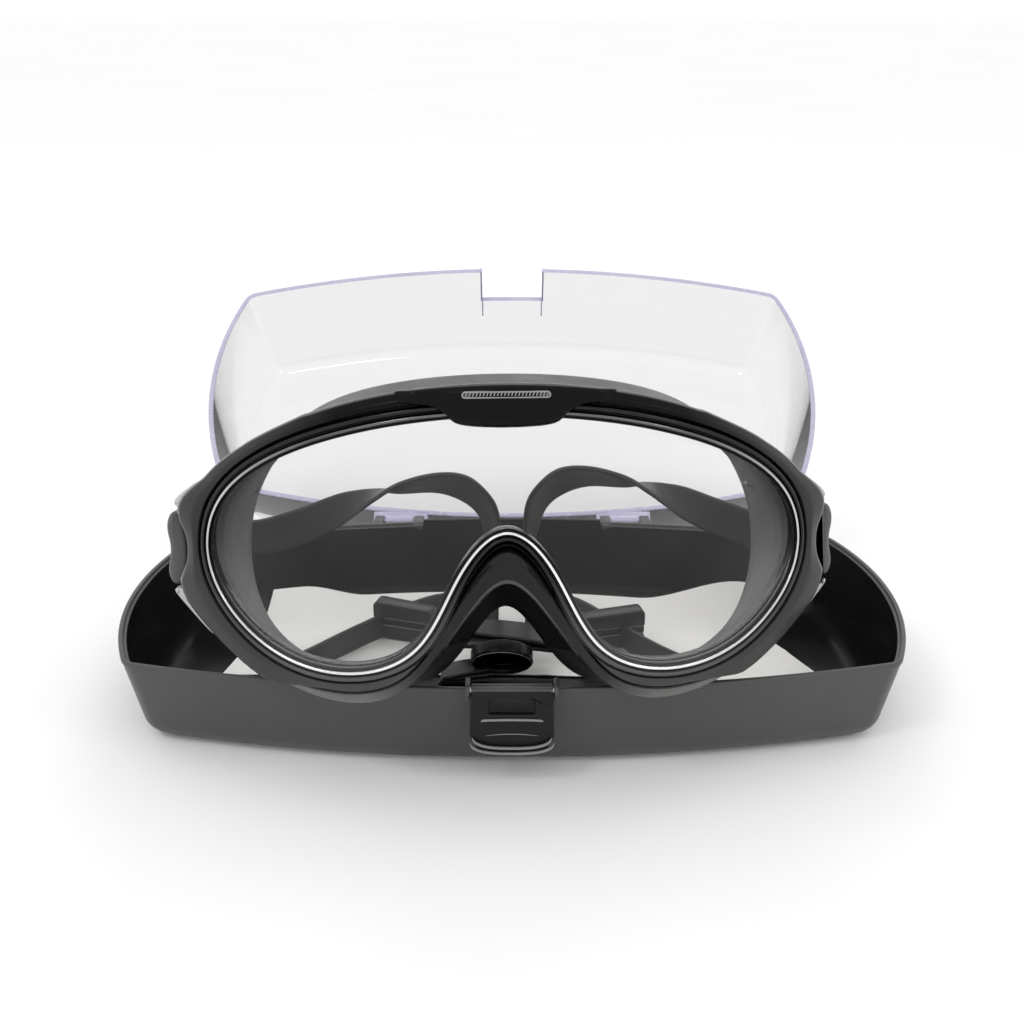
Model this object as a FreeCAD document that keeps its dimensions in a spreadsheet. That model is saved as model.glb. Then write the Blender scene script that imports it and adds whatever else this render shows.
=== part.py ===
import FreeCAD, Part
import math
import os

from FreeCAD import Placement, Rotation, Vector

# One-piece-lens swimming goggles standing in their open carrying case.
# Frame: origin at the centre of the tray's flat underside, +X right, +Y to the hinge side, +Z up.

SIZES = [
    ("rim_half_length", 109, "tray rim, centre to either end"),
    ("rim_half_depth", 54, "tray rim, centre to front or rear"),
    ("side_radius", 391, "plan radius of the front and rear walls"),
    ("end_radius", 98, "plan radius of the two end walls"),
    ("tray_height", 26, "underside to rim"),
    ("tray_wall", 2, "wall and floor of the tray"),
    ("tray_draft", 5.5, "how far the tray wall leans in from rim to underside"),
    ("tray_corner", 6, "radius between side and end walls"),
    ("tray_foot", 8, "radius between wall and underside"),
    ("tongue_half_width", 28.5, "locating tongue inside the rear wall"),
    ("tongue_thick", 1.3, "thickness of the tongue"),
    ("tongue_rise", 1.5, "how far the tongue stands above the rim"),
    ("lid_half_length", 107, "lid rim, centre to either end"),
    ("lid_height", 38, "lid rim to roof"),
    ("lid_wall", 1.8, "wall of the clear lid"),
    ("lid_draft", 8, "how far the lid wall leans in from rim to roof"),
    ("lid_gap", 0.5, "gap between tray rim and closed lid"),
    ("lid_roof", 9, "radius between lid wall and roof"),
    ("lid_open", 142.5, "angle of the open lid from closed"),
    ("notch_half_width", 11.5, "clasp notch in the lid's front wall"),
    ("notch_height", 13.5, "height of the notch"),
    ("hinge_behind", 57, "hinge axis behind the centre"),
    ("hinge_above", 24, "hinge axis above the underside"),
    ("hinge_out", 37, "middle of each hinge from the centre plane"),
    ("hinge_barrel", 2, "radius of ears and knuckles"),
    ("hinge_pin", 1, "radius of the hinge pins"),
    ("knuckle_half", 4.7, "half the length of a lid knuckle"),
    ("ear_thick", 3, "thickness of each ear"),
    ("hinge_side_gap", 0.3, "gap between ear and knuckle"),
    ("flange_half", 9, "half the length of the lid's hinge flange"),
    ("flange_thick", 1.6, "thickness of the flange"),
    ("running_gap", 0.06, "radial clearance of pins in moving bores"),
    ("clasp_ahead", 56.4, "clasp pivot ahead of the centre"),
    ("clasp_above", 27.3, "clasp pivot above the underside"),
    ("clasp_half_width", 10, "half the width of the clasp"),
    ("clasp_length", 17.6, "clasp pivot to its finger edge"),
    ("clasp_thick", 1.6, "thickness of the clasp plate"),
    ("clasp_barrel", 1.5, "radius of the clasp barrel"),
    ("clasp_pin", 0.7, "radius of the clasp pin"),
    ("lug_thick", 1.2, "thickness of the lugs beside the clasp"),
    ("lug_foot", 2.5, "how far the lug's web reaches below its eye"),
    ("lens_wrap", 130, "radius to which lens and frame are wrapped"),
    ("lens_thick", 2, "thickness of the lens"),
    ("lens_inset", 2.6, "lens face behind the frame's front"),
    ("frame_depth", 8, "front to back of the frame ring"),
    ("flange_depth", 1.5, "thickness of the skirt's front flange"),
    ("skirt_depth", 22, "frame's front to the skirt's face edge"),
    ("skirt_wall", 2.4, "thickness of the skirt's wall"),
    ("lean_back", 14, "how far the goggles lean back"),
    ("turn_left", 2, "how far the goggles are turned about the vertical"),
    ("goggle_ahead", 62.8, "middle of the frame's front ahead of the centre"),
    ("goggle_above", 68.2, "middle of the frame above the underside"),
    ("strap_thick", 1.4, "thickness of the strap"),
    ("paper_thick", 0.4, "thickness of the folded leaflet"),
]

# Outlines in the goggles' own frame (right half, foot to crown): the control points of a closed
# uniform cubic B-spline, seen from the front, with the first and last on the centre plane.
LENS_EDGE = [(0, 9), (13, -5), (20, -25), (37, -31), (57, -27), (73, -10), (71, 8), (56, 19.5),
             (36, 26), (18, 29), (0, 30)]
FRAME_EDGE = [(0, 7.5), (13, -15), (25, -37), (51, -35.5), (67, -26), (79, -15), (80, 11), (61, 24),
              (41, 32.5), (20, 36.5), (0, 37.5)]
SKIRT_EDGE = [(0, -2.5), (13, -23.5), (27, -40.5), (49, -39), (65, -29.5), (74, -15), (73.5, 8), (60, 20),
              (41, 30), (20, 35), (0, 36.5)]
# Corners of the frame's right cheek, hollow where the release button sits, and of the parts behind it.
CHEEK = [(70, 19), (75, 14), (80, 9), (81.8, 6.2), (81.4, 3.2), (79.3, -1.5), (79.3, -7), (81.4, -11.5),
         (81.9, -13.5), (80, -18), (75, -23), (68, -27), (73, -12), (74, 8)]
BUTTON = [(85.2, 2.5), (84, -2), (83.7, -7), (84, -12), (85.2, -15.8), (86.8, -15.6), (88.1, -13),
          (87.7, -10), (87.2, -8), (87.6, -5), (88.1, -2), (86.8, 1.5)]
ARM = [(76, 15), (81, 10), (84.5, 7), (86.2, 4.6), (87, 0), (87.2, -16.5), (86.4, -18), (82, -22),
       (76, -28), (73.5, -28), (75.5, -14), (76, 0)]

# Strap stations, left side: the near and the far edge of the band from behind the skirt to its end.
ARCH_STATIONS = [
    ((-69, -12, 43.5), (-69, -10, 53)), ((-58.5, -6, 43.5), (-58.5, -4, 54)),
    ((-47.5, 0, 47), (-47, 4, 55.5)), ((-38.5, 3, 53.5), (-38.5, 12, 53)),
    ((-31.5, 4, 58), (-32, 12.5, 52)), ((-21.5, 5, 60.5), (-22, 13, 52)),
    ((-13, 6, 59.5), (-15, 13.5, 49.5)), ((-7, 7, 54), (-10, 14, 45)),
    ((-4, 8, 47.5), (-7.5, 14, 38)), ((-3.5, 9, 37), (-5.5, 15, 28)),
    ((-3.5, 11, 25), (-4.5, 17, 16)),
]
TAIL_STATIONS = {
    "left": [(-4.5, 20.5), (-12, 28), (-22, 30), (-33, 22.5), (-46, 9), (-57, -4), (-63, -11)],
    "right": [(4.5, 20.5), (9, 27), (15, 30), (22, 25), (31, 12.5), (39, 1), (47, -8), (54, -13)],
}
TAIL_LOW, TAIL_HIGH = 3.2, 11
LEFT_BEND = ((-75, -16, 47), (-75, -15, 56.5))
BUCKLE_EXIT = ((77.5, 48, -6.5), (77.5, 48, 3.5))
RIGHT_STRAP_LIFT = 2
SLIDER_LONG, SLIDER_THICK, SLIDER_HIGH = 19, 5, 11
SLIDER_PLACES = {"left": (-32.3, 16.4, -17), "right": (30, 11.5, 12)}
SLOT_PLACES = {"left": (-37, 18.3, 46), "right": (31, 12.5, -55)}
COIL_RADIUS, COIL_WIDTH = 8.8, 3.8
COIL_CENTRE, COIL_TILT = Vector(-2.9, -13, 10.2), 129

doc = FreeCAD.newDocument("swim_goggles_in_case")
sheet = doc.addObject("Spreadsheet::Sheet", "sizes")
for row, (alias, value, meaning) in enumerate(SIZES, 1):
    sheet.set(f"A{row}", meaning)
    sheet.set(f"B{row}", str(value))
    sheet.setAlias(f"B{row}", alias)
doc.recompute()

SUB_PARTS = []


def size(alias):
    """The value of one named cell."""
    return float(sheet.get(alias))


def bind(item, **cells):
    """Bind properties to expressions; a double underscore in a name stands for a dot."""
    for name, expression in cells.items():
        for alias, _, _ in sorted(SIZES, key=lambda entry: -len(entry[0])):
            expression = expression.replace(f"[{alias}]", f"sizes.{alias}")
        item.setExpression(name.replace("__", "."), expression)


def primitive(kind, name, turn=None, **cells):
    """A Part primitive whose sizes and position come from the sheet."""
    item = doc.addObject(f"Part::{kind}", name)
    if turn:
        item.Placement = Placement(Vector(), turn)
    bind(item, **cells)
    return item


def at(x="0", y="0", z="0"):
    """Position expressions for a primitive."""
    return {"Placement__Base__x": x, "Placement__Base__y": y, "Placement__Base__z": z}


def combine(kind, name, pieces):
    """A boolean of several objects: MultiFuse or MultiCommon of all, or Cut of two."""
    item = doc.addObject(f"Part::{kind}", name)
    if kind == "Cut":
        item.Base, item.Tool = pieces
    else:
        item.Shapes = pieces
    doc.recompute()
    return item


def keep(item, label):
    """Mark an object as a sub-part and name its file."""
    item.Label = label
    SUB_PARTS.append(item)
    return item


def rounded(base, name, chooser, radius):
    """Round the chosen edges of an object."""
    item = doc.addObject("Part::Fillet", name)
    item.Base = base
    item.Edges = [(n, radius, radius) for n, edge in enumerate(base.Shape.Edges, 1) if chooser(edge)]
    doc.recompute()
    return item


def edge_span(edge):
    """Lowest and highest Z of an edge."""
    box = edge.BoundBox
    return box.ZMin, box.ZMax


ALONG_X = Rotation(Vector(0, 1, 0), 90)


# ---------------------------------------------------------------- boat-shaped case halves

def boat(name, half_length, low, high, inset_low, inset_high):
    """Bowed sides and ends that lean in: two side cones in common with two fused end cones."""
    cones = {}
    for part_name, radius, reach, axis in (("side", "[side_radius]", "[rim_half_depth]", "y"),
                                           ("end", "[end_radius]", half_length, "x")):
        for sign, letter in ((1, "a"), (-1, "b")):
            place = {axis: f"{sign} * ({radius} - {reach})", "z": low}
            cones[part_name + letter] = primitive(
                "Cone", f"{name}_{part_name}_{letter}",
                Radius1=f"{radius} - ({inset_low})", Radius2=f"{radius} - ({inset_high})",
                Height=f"({high}) - ({low})", **at(**place))
    ends = combine("MultiFuse", f"{name}_ends", [cones["enda"], cones["endb"]])
    return combine("MultiCommon", name, [cones["sidea"], cones["sideb"], ends])


def soften_boat(solid, name, flat_z, corner, foot):
    """Round the four upright corners, then the edge around the flat face at flat_z."""
    upright = rounded(solid, f"{name}_corners",
                      lambda edge: edge_span(edge)[1] - edge_span(edge)[0] > 5, corner)
    return rounded(upright, f"{name}_soft",
                   lambda edge: max(abs(z - flat_z) for z in edge_span(edge)) < 0.01, foot)


def make_tray():
    """The dark tray: boat-shaped shell, rear tongue, hinge ears and clasp lugs."""
    wall = size("tray_wall")
    outer = boat("tray_outer", "[rim_half_length]", "0", "[tray_height]", "[tray_draft]", "0")
    outer = soften_boat(outer, "tray_outer", 0, size("tray_corner"), size("tray_foot"))
    inner = boat("tray_inner", "[rim_half_length]", "[tray_wall]", "[tray_height] + 5",
                 "[tray_wall] + [tray_draft]", "[tray_wall] - [tray_draft] * 5 / [tray_height]")
    inner = soften_boat(inner, "tray_inner", wall, size("tray_corner") - wall, size("tray_foot") - wall)
    shell = combine("Cut", "tray_hollow", [outer, inner])

    tongue_ring = combine("Cut", "tongue_ring", [
        boat("tongue_outer", "[rim_half_length]", "[tray_foot]", "[tray_height] + [tongue_rise]",
             "[tray_wall] + [tray_draft] - 1.9", "[tray_wall] + 0.1"),
        boat("tongue_inner", "[rim_half_length]", "[tray_foot] - 1", "[tray_height] + [tongue_rise] + 1",
             "[tray_wall] + [tray_draft] + [tongue_thick] - 1.9", "[tray_wall] + [tongue_thick] + 0.1")])
    tongue_zone = primitive("Box", "tongue_zone", Length="2 * [tongue_half_width]", Width="30",
                            Height="[tray_height] + 10",
                            **at("-[tongue_half_width]", "[rim_half_depth] - 20", "0"))
    tongue = combine("MultiCommon", "tray_tongue", [tongue_ring, tongue_zone])

    solids = [shell, tongue]
    bores = []
    for side, name in ((-1, "left"), (1, "right")):
        for place, shift in (("inner", "-1"), ("outer", "1")):
            middle = (f"{side} * ([hinge_out] + {shift} * ([knuckle_half] + [hinge_side_gap]"
                      " + [ear_thick] / 2))")
            start = f"{middle} - [ear_thick] / 2"
            solids.append(primitive("Box", f"ear_{name}_{place}_web", Length="[ear_thick]",
                                    Width="[hinge_behind] - [rim_half_depth] + 4",
                                    Height="2 * [hinge_barrel]",
                                    **at(start, "[rim_half_depth] - 4", "[hinge_above] - [hinge_barrel]")))
            solids.append(primitive("Cylinder", f"ear_{name}_{place}_eye", ALONG_X,
                                    Radius="[hinge_barrel]", Height="[ear_thick]",
                                    **at(start, "[hinge_behind]", "[hinge_above]")))
        bores.append(primitive("Cylinder", f"hinge_bore_{name}", ALONG_X, Radius="[hinge_pin]",
                               Height="2 * ([knuckle_half] + [hinge_side_gap] + [ear_thick]) + 4",
                               **at(f"{side} * [hinge_out] - [knuckle_half] - [hinge_side_gap]"
                                    " - [ear_thick] - 2", "[hinge_behind]", "[hinge_above]")))
        lug_start = (f"{side} * ([clasp_half_width] + [hinge_side_gap] + [lug_thick] / 2)"
                     " - [lug_thick] / 2")
        solids.append(primitive("Box", f"lug_{name}_web", Length="[lug_thick]",
                                Width="[clasp_ahead] - [rim_half_depth] + 1.5",
                                Height="2 * [clasp_barrel] + [lug_foot]",
                                **at(lug_start, "-[clasp_ahead]",
                                     "[clasp_above] - [clasp_barrel] - [lug_foot]")))
        solids.append(primitive("Cylinder", f"lug_{name}_eye", ALONG_X, Radius="[clasp_barrel]",
                                Height="[lug_thick]",
                                **at(lug_start, "-[clasp_ahead]", "[clasp_above]")))
    bores.append(primitive("Cylinder", "clasp_bore", ALONG_X, Radius="[clasp_pin]",
                           Height="2 * [clasp_half_width] + 10",
                           **at("-[clasp_half_width] - 5", "-[clasp_ahead]", "[clasp_above]")))
    body = combine("MultiFuse", "tray_body", solids)
    keep(combine("Cut", "tray_shell", [body, combine("MultiFuse", "tray_bores", bores)]), "tray_shell")


def make_pins():
    """The two hinge pins and the clasp pin, held in the tray."""
    for side, name in ((-1, "left"), (1, "right")):
        pin = primitive("Cylinder", f"hinge_pin_{name}", ALONG_X, Radius="[hinge_pin]",
                        Height="2 * ([knuckle_half] + [hinge_side_gap] + [ear_thick])",
                        **at(f"{side} * [hinge_out] - [knuckle_half] - [hinge_side_gap] - [ear_thick]",
                             "[hinge_behind]", "[hinge_above]"))
        keep(pin, f"hinge_pin_{name}")
    pin = primitive("Cylinder", "clasp_pin_rod", ALONG_X, Radius="[clasp_pin]",
                    Height="2 * ([clasp_half_width] + [hinge_side_gap] + [lug_thick])",
                    **at("-[clasp_half_width] - [hinge_side_gap] - [lug_thick]", "-[clasp_ahead]",
                         "[clasp_above]"))
    keep(pin, "clasp_pin")


def make_lid():
    """The clear lid, modelled closed and then swung open about the hinge axis."""
    low = "[tray_height] + [lid_gap]"
    high = "[tray_height] + [lid_gap] + [lid_height]"
    wall = size("lid_wall")
    outer = boat("lid_outer", "[lid_half_length]", low, high, "0", "[lid_draft]")
    outer = soften_boat(outer, "lid_outer", size("tray_height") + size("lid_gap") + size("lid_height"),
                        size("tray_corner"), size("lid_roof"))
    inner = boat("lid_inner", "[lid_half_length]", f"{low} - 5", f"{high} - [lid_wall]",
                 "[lid_wall] - [lid_draft] * 5 / [lid_height]", "[lid_wall] + [lid_draft]")
    inner = soften_boat(inner, "lid_inner",
                        size("tray_height") + size("lid_gap") + size("lid_height") - wall,
                        size("tray_corner") - wall, size("lid_roof") - wall)
    shell = combine("Cut", "lid_hollow", [outer, inner])
    solids = [shell]
    cuts = [primitive("Box", "clasp_notch", Length="2 * [notch_half_width]", Width="20",
                      Height="[notch_height] + 5",
                      **at("-[notch_half_width]", "-[rim_half_depth] - 5", f"{low} - 5"))]
    for side, name in ((-1, "left"), (1, "right")):
        middle = f"{side} * [hinge_out]"
        solids.append(primitive("Box", f"flange_{name}", Length="2 * [flange_half]",
                                Width="[hinge_behind] - [rim_half_depth] + 3.5",
                                Height="[flange_thick]",
                                **at(f"{middle} - [flange_half]", "[rim_half_depth] - 3", low)))
        solids.append(primitive("Box", f"knuckle_{name}_web", Length="2 * [knuckle_half]",
                                Width="[hinge_barrel]", Height="[tray_height] + [lid_gap] + 1 - [hinge_above]",
                                **at(f"{middle} - [knuckle_half]", "[hinge_behind] - [hinge_barrel] / 2",
                                     "[hinge_above]")))
        solids.append(primitive("Cylinder", f"knuckle_{name}_eye", ALONG_X, Radius="[hinge_barrel]",
                                Height="2 * [knuckle_half]",
                                **at(f"{middle} - [knuckle_half]", "[hinge_behind]", "[hinge_above]")))
        cuts.append(primitive("Cylinder", f"knuckle_{name}_bore", ALONG_X,
                              Radius="[hinge_pin] + [running_gap]", Height="2 * [knuckle_half] + 4",
                              **at(f"{middle} - [knuckle_half] - 2", "[hinge_behind]", "[hinge_above]")))
    body = combine("MultiFuse", "lid_body", solids)
    lid = combine("Cut", "lid_shell", [body, combine("MultiFuse", "lid_cuts", cuts)])
    axis = Vector(0, size("hinge_behind"), size("hinge_above"))
    lid.Placement = Placement(Vector(), Rotation(Vector(1, 0, 0), -size("lid_open")), axis)
    keep(lid, "lid_shell")


# ---------------------------------------------------------------- clasp

def origin_plane(body, role):
    """One of a body's own origin planes."""
    return next(plane for plane in body.Origin.OriginFeatures if plane.Role == role)


def sketch_on(body, name, role):
    """A sketch attached to one of the body's origin planes."""
    sketch = body.newObject("Sketcher::SketchObject", name)
    sketch.AttachmentSupport = [(origin_plane(body, role), "")]
    sketch.MapMode = "FlatFace"
    return sketch


def polygon(sketch, points):
    """Add a closed polygon to a sketch."""
    corners = [Vector(x, y, 0) for x, y in points]
    for start, end in zip(corners, corners[1:] + corners[:1]):
        sketch.addGeometry(Part.LineSegment(start, end))


def make_clasp():
    """The flip-up clasp: tapered plate with a window, a thumb ridge and a rolled finger lip."""
    half, length, thick = size("clasp_half_width"), size("clasp_length"), size("clasp_thick")
    barrel = size("clasp_barrel")
    body = doc.addObject("PartDesign::Body", "clasp_body")
    plate = sketch_on(body, "clasp_outline", "XZ_Plane")
    bevel = 3
    polygon(plate, [(-half, 0), (half, 0), (half + 0.5, bevel - length), (half - 1, 1.2 - length),
                    (half - bevel, 0.3 - length), (half - 5, -length), (5 - half, -length),
                    (bevel - half, 0.3 - length), (1 - half, 1.2 - length), (-half - 0.5, bevel - length)])
    pad = body.newObject("PartDesign::Pad", "clasp_plate")
    pad.Profile = plate
    bind(pad, Length="[clasp_thick]")
    doc.recompute()
    eye = sketch_on(body, "clasp_eye", "YZ_Plane")
    eye.addGeometry(Part.Circle(Vector(0, 0, 0), Vector(0, 0, 1), barrel))
    roll = body.newObject("PartDesign::Pad", "clasp_roll")
    roll.Profile = eye
    roll.Midplane = True
    bind(roll, Length="2 * [clasp_half_width]")
    doc.recompute()
    lip = sketch_on(body, "clasp_lip_profile", "YZ_Plane")
    polygon(lip, [(-thick - 1.4, 0.8 - length), (-thick - 1.4, 1.8 - length), (-thick + 0.2, 3 - length),
                  (-thick + 0.2, -length)])
    rim = body.newObject("PartDesign::Pad", "clasp_lip")
    rim.Profile = lip
    rim.Midplane = True
    bind(rim, Length="2 * ([clasp_half_width] - 2.5)")
    ridge = sketch_on(body, "clasp_ridge_profile", "YZ_Plane")
    polygon(ridge, [(-thick - 0.7, -8), (-thick - 0.7, -7.4), (-thick + 0.2, -7), (-thick + 0.2, -8.2)])
    bar = body.newObject("PartDesign::Pad", "clasp_ridge")
    bar.Profile = ridge
    bar.Midplane = True
    bind(bar, Length="1.5 * [clasp_half_width]")
    doc.recompute()
    window = sketch_on(body, "clasp_window_outline", "XZ_Plane")
    polygon(window, [(-5.6, -6.4), (5.6, -6.4), (5.6, -2), (-5.6, -2)])
    hole = body.newObject("PartDesign::Pocket", "clasp_window")
    hole.Profile = window
    hole.Type = "ThroughAll"
    hole.Midplane = True
    doc.recompute()
    bore = sketch_on(body, "clasp_bore_circle", "YZ_Plane")
    bore.addGeometry(Part.Circle(Vector(0, 0, 0), Vector(0, 0, 1),
                                 size("clasp_pin") + size("running_gap")))
    drill = body.newObject("PartDesign::Pocket", "clasp_pin_bore")
    drill.Profile = bore
    drill.Type = "ThroughAll"
    drill.Midplane = True
    doc.recompute()
    body.Placement = Placement(Vector(0, -size("clasp_ahead"), size("clasp_above")), Rotation())
    keep(body, "clasp")


# ---------------------------------------------------------------- leaflet

def make_leaflet():
    """The folded paper leaflet on the tray floor, its rear edge curling up the wall."""
    body = doc.addObject("PartDesign::Body", "leaflet_body")
    sketch = sketch_on(body, "leaflet_profile", "YZ_Plane")
    front, bend, rear, rise = -7, 28, 37, 3
    low = size("tray_wall") + 0.05
    thick = size("paper_thick")
    curl = ((rear - bend) ** 2 + rise ** 2) / (2 * rise)
    centre = Vector(bend, low + curl, 0)
    angle = math.asin((rear - bend) / curl)

    def arc(radius):
        circle = Part.Circle(centre, Vector(0, 0, 1), radius)
        return Part.ArcOfCircle(circle, -math.pi / 2, -math.pi / 2 + angle)

    outer, inner = arc(curl), arc(curl - thick)
    sketch.addGeometry(Part.LineSegment(Vector(front, low, 0), Vector(bend, low, 0)))
    sketch.addGeometry(outer)
    sketch.addGeometry(Part.LineSegment(outer.EndPoint, inner.EndPoint))
    sketch.addGeometry(inner)
    sketch.addGeometry(Part.LineSegment(inner.StartPoint, Vector(front, low + thick, 0)))
    sketch.addGeometry(Part.LineSegment(Vector(front, low + thick, 0), Vector(front, low, 0)))
    pad = body.newObject("PartDesign::Pad", "leaflet_sheet")
    pad.Profile = sketch
    pad.Midplane = True
    pad.Length = 156
    doc.recompute()
    body.Placement = Placement(Vector(-1, 0, 0), Rotation())
    keep(body, "leaflet")


# ---------------------------------------------------------------- goggles

def goggle_frame():
    """Placement of the goggles' own frame: X right, Y back from the lens, Z up along it."""
    turn = Rotation(Vector(0, 0, 1), size("turn_left"))
    lean = Rotation(Vector(1, 0, 0), -size("lean_back"))
    return Placement(Vector(-1, -size("goggle_ahead"), size("goggle_above")), turn.multiply(lean))


def closed_poles(half, grow=0.0):
    """Both halves of an outline, each point moved outward by grow."""
    ring = half + [(-x, z) for x, z in half[-2:0:-1]]
    poles = []
    for n, (x, z) in enumerate(ring):
        before, after = ring[n - 1], ring[(n + 1) % len(ring)]
        step_x, step_z = after[0] - before[0], after[1] - before[1]
        length = math.hypot(step_x, step_z)
        poles.append(Vector(x + grow * step_z / length, 0, z - grow * step_x / length))
    return poles


def outline_face(half, grow=0.0):
    """A flat face inside a closed uniform cubic B-spline, in the XZ plane."""
    poles = closed_poles(half, grow)
    curve = Part.BSplineCurve()
    count = len(poles)
    curve.buildFromPolesMultsKnots(poles, [1] * (count + 1), list(range(count + 1)), True, 3)
    return Part.Face(Part.Wire(curve.toShape()))


def polygon_face(points):
    """A flat polygon face in the XZ plane."""
    corners = [Vector(x, 0, z) for x, z in points]
    return Part.Face(Part.makePolygon(corners + corners[:1]))


def wrapped(face, front, back):
    """The face pushed back and kept between two depths behind the wrapped front surface."""
    radius = size("lens_wrap")
    prism = face.extrude(Vector(0, radius - 15, 0))
    prism.translate(Vector(0, -10, 0))
    foot = Vector(0, radius, -90)
    outer = Part.makeCylinder(radius - front, 180, foot)
    inner = Part.makeCylinder(radius - back, 180, foot)
    return prism.common(outer.cut(inner))


def feature(label, shape, place=None):
    """A sub-part made from a shape, placed in the goggles' frame unless told otherwise."""
    item = doc.addObject("Part::Feature", label)
    item.Shape = shape
    item.Placement = goggle_frame() if place is None else place
    return keep(item, label)


def mirrored(shape):
    """The same shape on the other side of the centre plane."""
    return shape.mirror(Vector(0, 0, 0), Vector(1, 0, 0))


def both_sides(label, right_shape, place=None):
    """A left and a right sub-part from the right one."""
    feature(f"{label}_right", right_shape, place)
    feature(f"{label}_left", mirrored(right_shape), place)


def make_front():
    """Lens, frame ring, bead, brow cover and badge."""
    depth, inset = size("frame_depth"), size("lens_inset")
    lens_edge = outline_face(LENS_EDGE)
    seat = outline_face(LENS_EDGE, 1.2)
    bead_edge = outline_face(LENS_EDGE, 2.2)
    feature("lens", wrapped(seat, inset, inset + size("lens_thick")))
    ring = wrapped(outline_face(FRAME_EDGE).cut(seat), 0, depth)
    cheek = wrapped(polygon_face(CHEEK), 2, depth)
    ring = ring.fuse([cheek, mirrored(cheek)])
    ring = ring.cut(wrapped(bead_edge, -1, inset - 0.1))
    lip = wrapped(seat.cut(outline_face(LENS_EDGE, 0.2)), inset + size("lens_thick"), depth)
    feature("front_frame", ring.fuse(lip).removeSplitter())
    feature("lens_bead", wrapped(bead_edge.cut(lens_edge), -0.5, inset - 0.1))
    plaque = polygon_face([(-9, 27.5), (9, 27.5), (12, 29), (15, 32), (24, 32.6), (24, 34.5), (-24, 34.5),
                           (-24, 32.6), (-15, 32), (-12, 29)])
    feature("brow_cover", wrapped(plaque, -1.4, -0.5))
    capsule_half, capsule_radius, capsule_z = 9, 0.9, 33
    capsule = Part.makeBox(2 * capsule_half, 1, 2 * capsule_radius,
                           Vector(-capsule_half, -1.9, capsule_z - capsule_radius))
    for side in (-1, 1):
        end = Part.makeCylinder(capsule_radius, 1, Vector(side * capsule_half, -1.9, capsule_z),
                                Vector(0, 1, 0))
        capsule = capsule.fuse(end)
    feature("badge_inlay", capsule.removeSplitter().cut(wrapped(plaque, -1.4, 5)))


def make_skirt():
    """The silicone face skirt: a flange behind the frame and a wall back to the face edge."""
    front = size("frame_depth") + 0.05
    flange_back = front + size("flange_depth")
    opening = outline_face(LENS_EDGE, -0.5)
    flange = wrapped(outline_face(SKIRT_EDGE).cut(opening), front, flange_back)
    wall_edge = outline_face(SKIRT_EDGE, -2.5)
    inside = outline_face(SKIRT_EDGE, -2.5 - size("skirt_wall"))
    wall = wrapped(wall_edge.cut(inside), flange_back - 0.5, size("skirt_depth"))
    feature("face_skirt", flange.fuse(wall).removeSplitter())


def make_side_hardware():
    """Side arms, buckle housings, strap rollers and release buttons."""
    front = size("frame_depth") + 0.3
    travel_gap = 2.0
    button = wrapped(polygon_face(BUTTON), front + 0.4, front + 7)
    inner = min(x for x, z in BUTTON) - travel_gap
    hollow = polygon_face([(inner, 3.5), (90, 3.5), (90, -16.8), (inner, -16.8)])
    arm_face = polygon_face(ARM)
    arm = wrapped(arm_face.cut(hollow), front, front + 3)
    both_sides("side_arm", arm)
    outer = polygon_face([(75.8, 7.5), (79, 7.5), (79, -10.5), (75.8, -10.5)])
    slot = polygon_face([(76.6, 6), (78.4, 6), (78.4, -9), (76.6, -9)])
    housing = wrapped(outer, front + 3, front + 8).cut(wrapped(slot, front + 4, front + 20))
    roller_x = 77.2
    roller_radius = size("lens_wrap") - front - 6
    roller_foot = Vector(roller_x, size("lens_wrap") - math.sqrt(roller_radius ** 2 - roller_x ** 2), -10.5)
    roller = Part.makeCylinder(0.8, 18, roller_foot)
    both_sides("buckle_housing", housing.cut(roller))
    both_sides("strap_roller", roller)
    both_sides("release_button", button)


# ---------------------------------------------------------------- straps

def band(stations, thick):
    """A flat band through stations of two edge points each, as a chain of ruled blocks."""
    sections = []
    for n, (near, far) in enumerate(stations):
        near, far = Vector(*near), Vector(*far)
        before = Vector(*stations[max(n - 1, 0)][0]) + Vector(*stations[max(n - 1, 0)][1])
        last = min(n + 1, len(stations) - 1)
        after = Vector(*stations[last][0]) + Vector(*stations[last][1])
        across = far - near
        normal = (after - before).cross(across)
        normal.normalize()
        push = normal * (thick / 2)
        corners = [near - push, far - push, far + push, near + push]
        sections.append(Part.makePolygon(corners + corners[:1]))
    return Part.makeLoft(sections, True, True)


def turned_box(long, thick, high, foot, x, y, degrees):
    """An upright box around (x, y), turned about the vertical."""
    box = Part.makeBox(long, thick, high, Vector(-long / 2, -thick / 2, 0))
    box.Placement = Placement(Vector(x, y, foot), Rotation(Vector(0, 0, 1), degrees))
    return box


def side_stations(stations, side, lift=0.0):
    """Stations of the left strap, or mirrored and lifted for the right."""
    return [tuple((-side * x, y, z + lift) for x, y, z in pair) for pair in stations]


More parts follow.
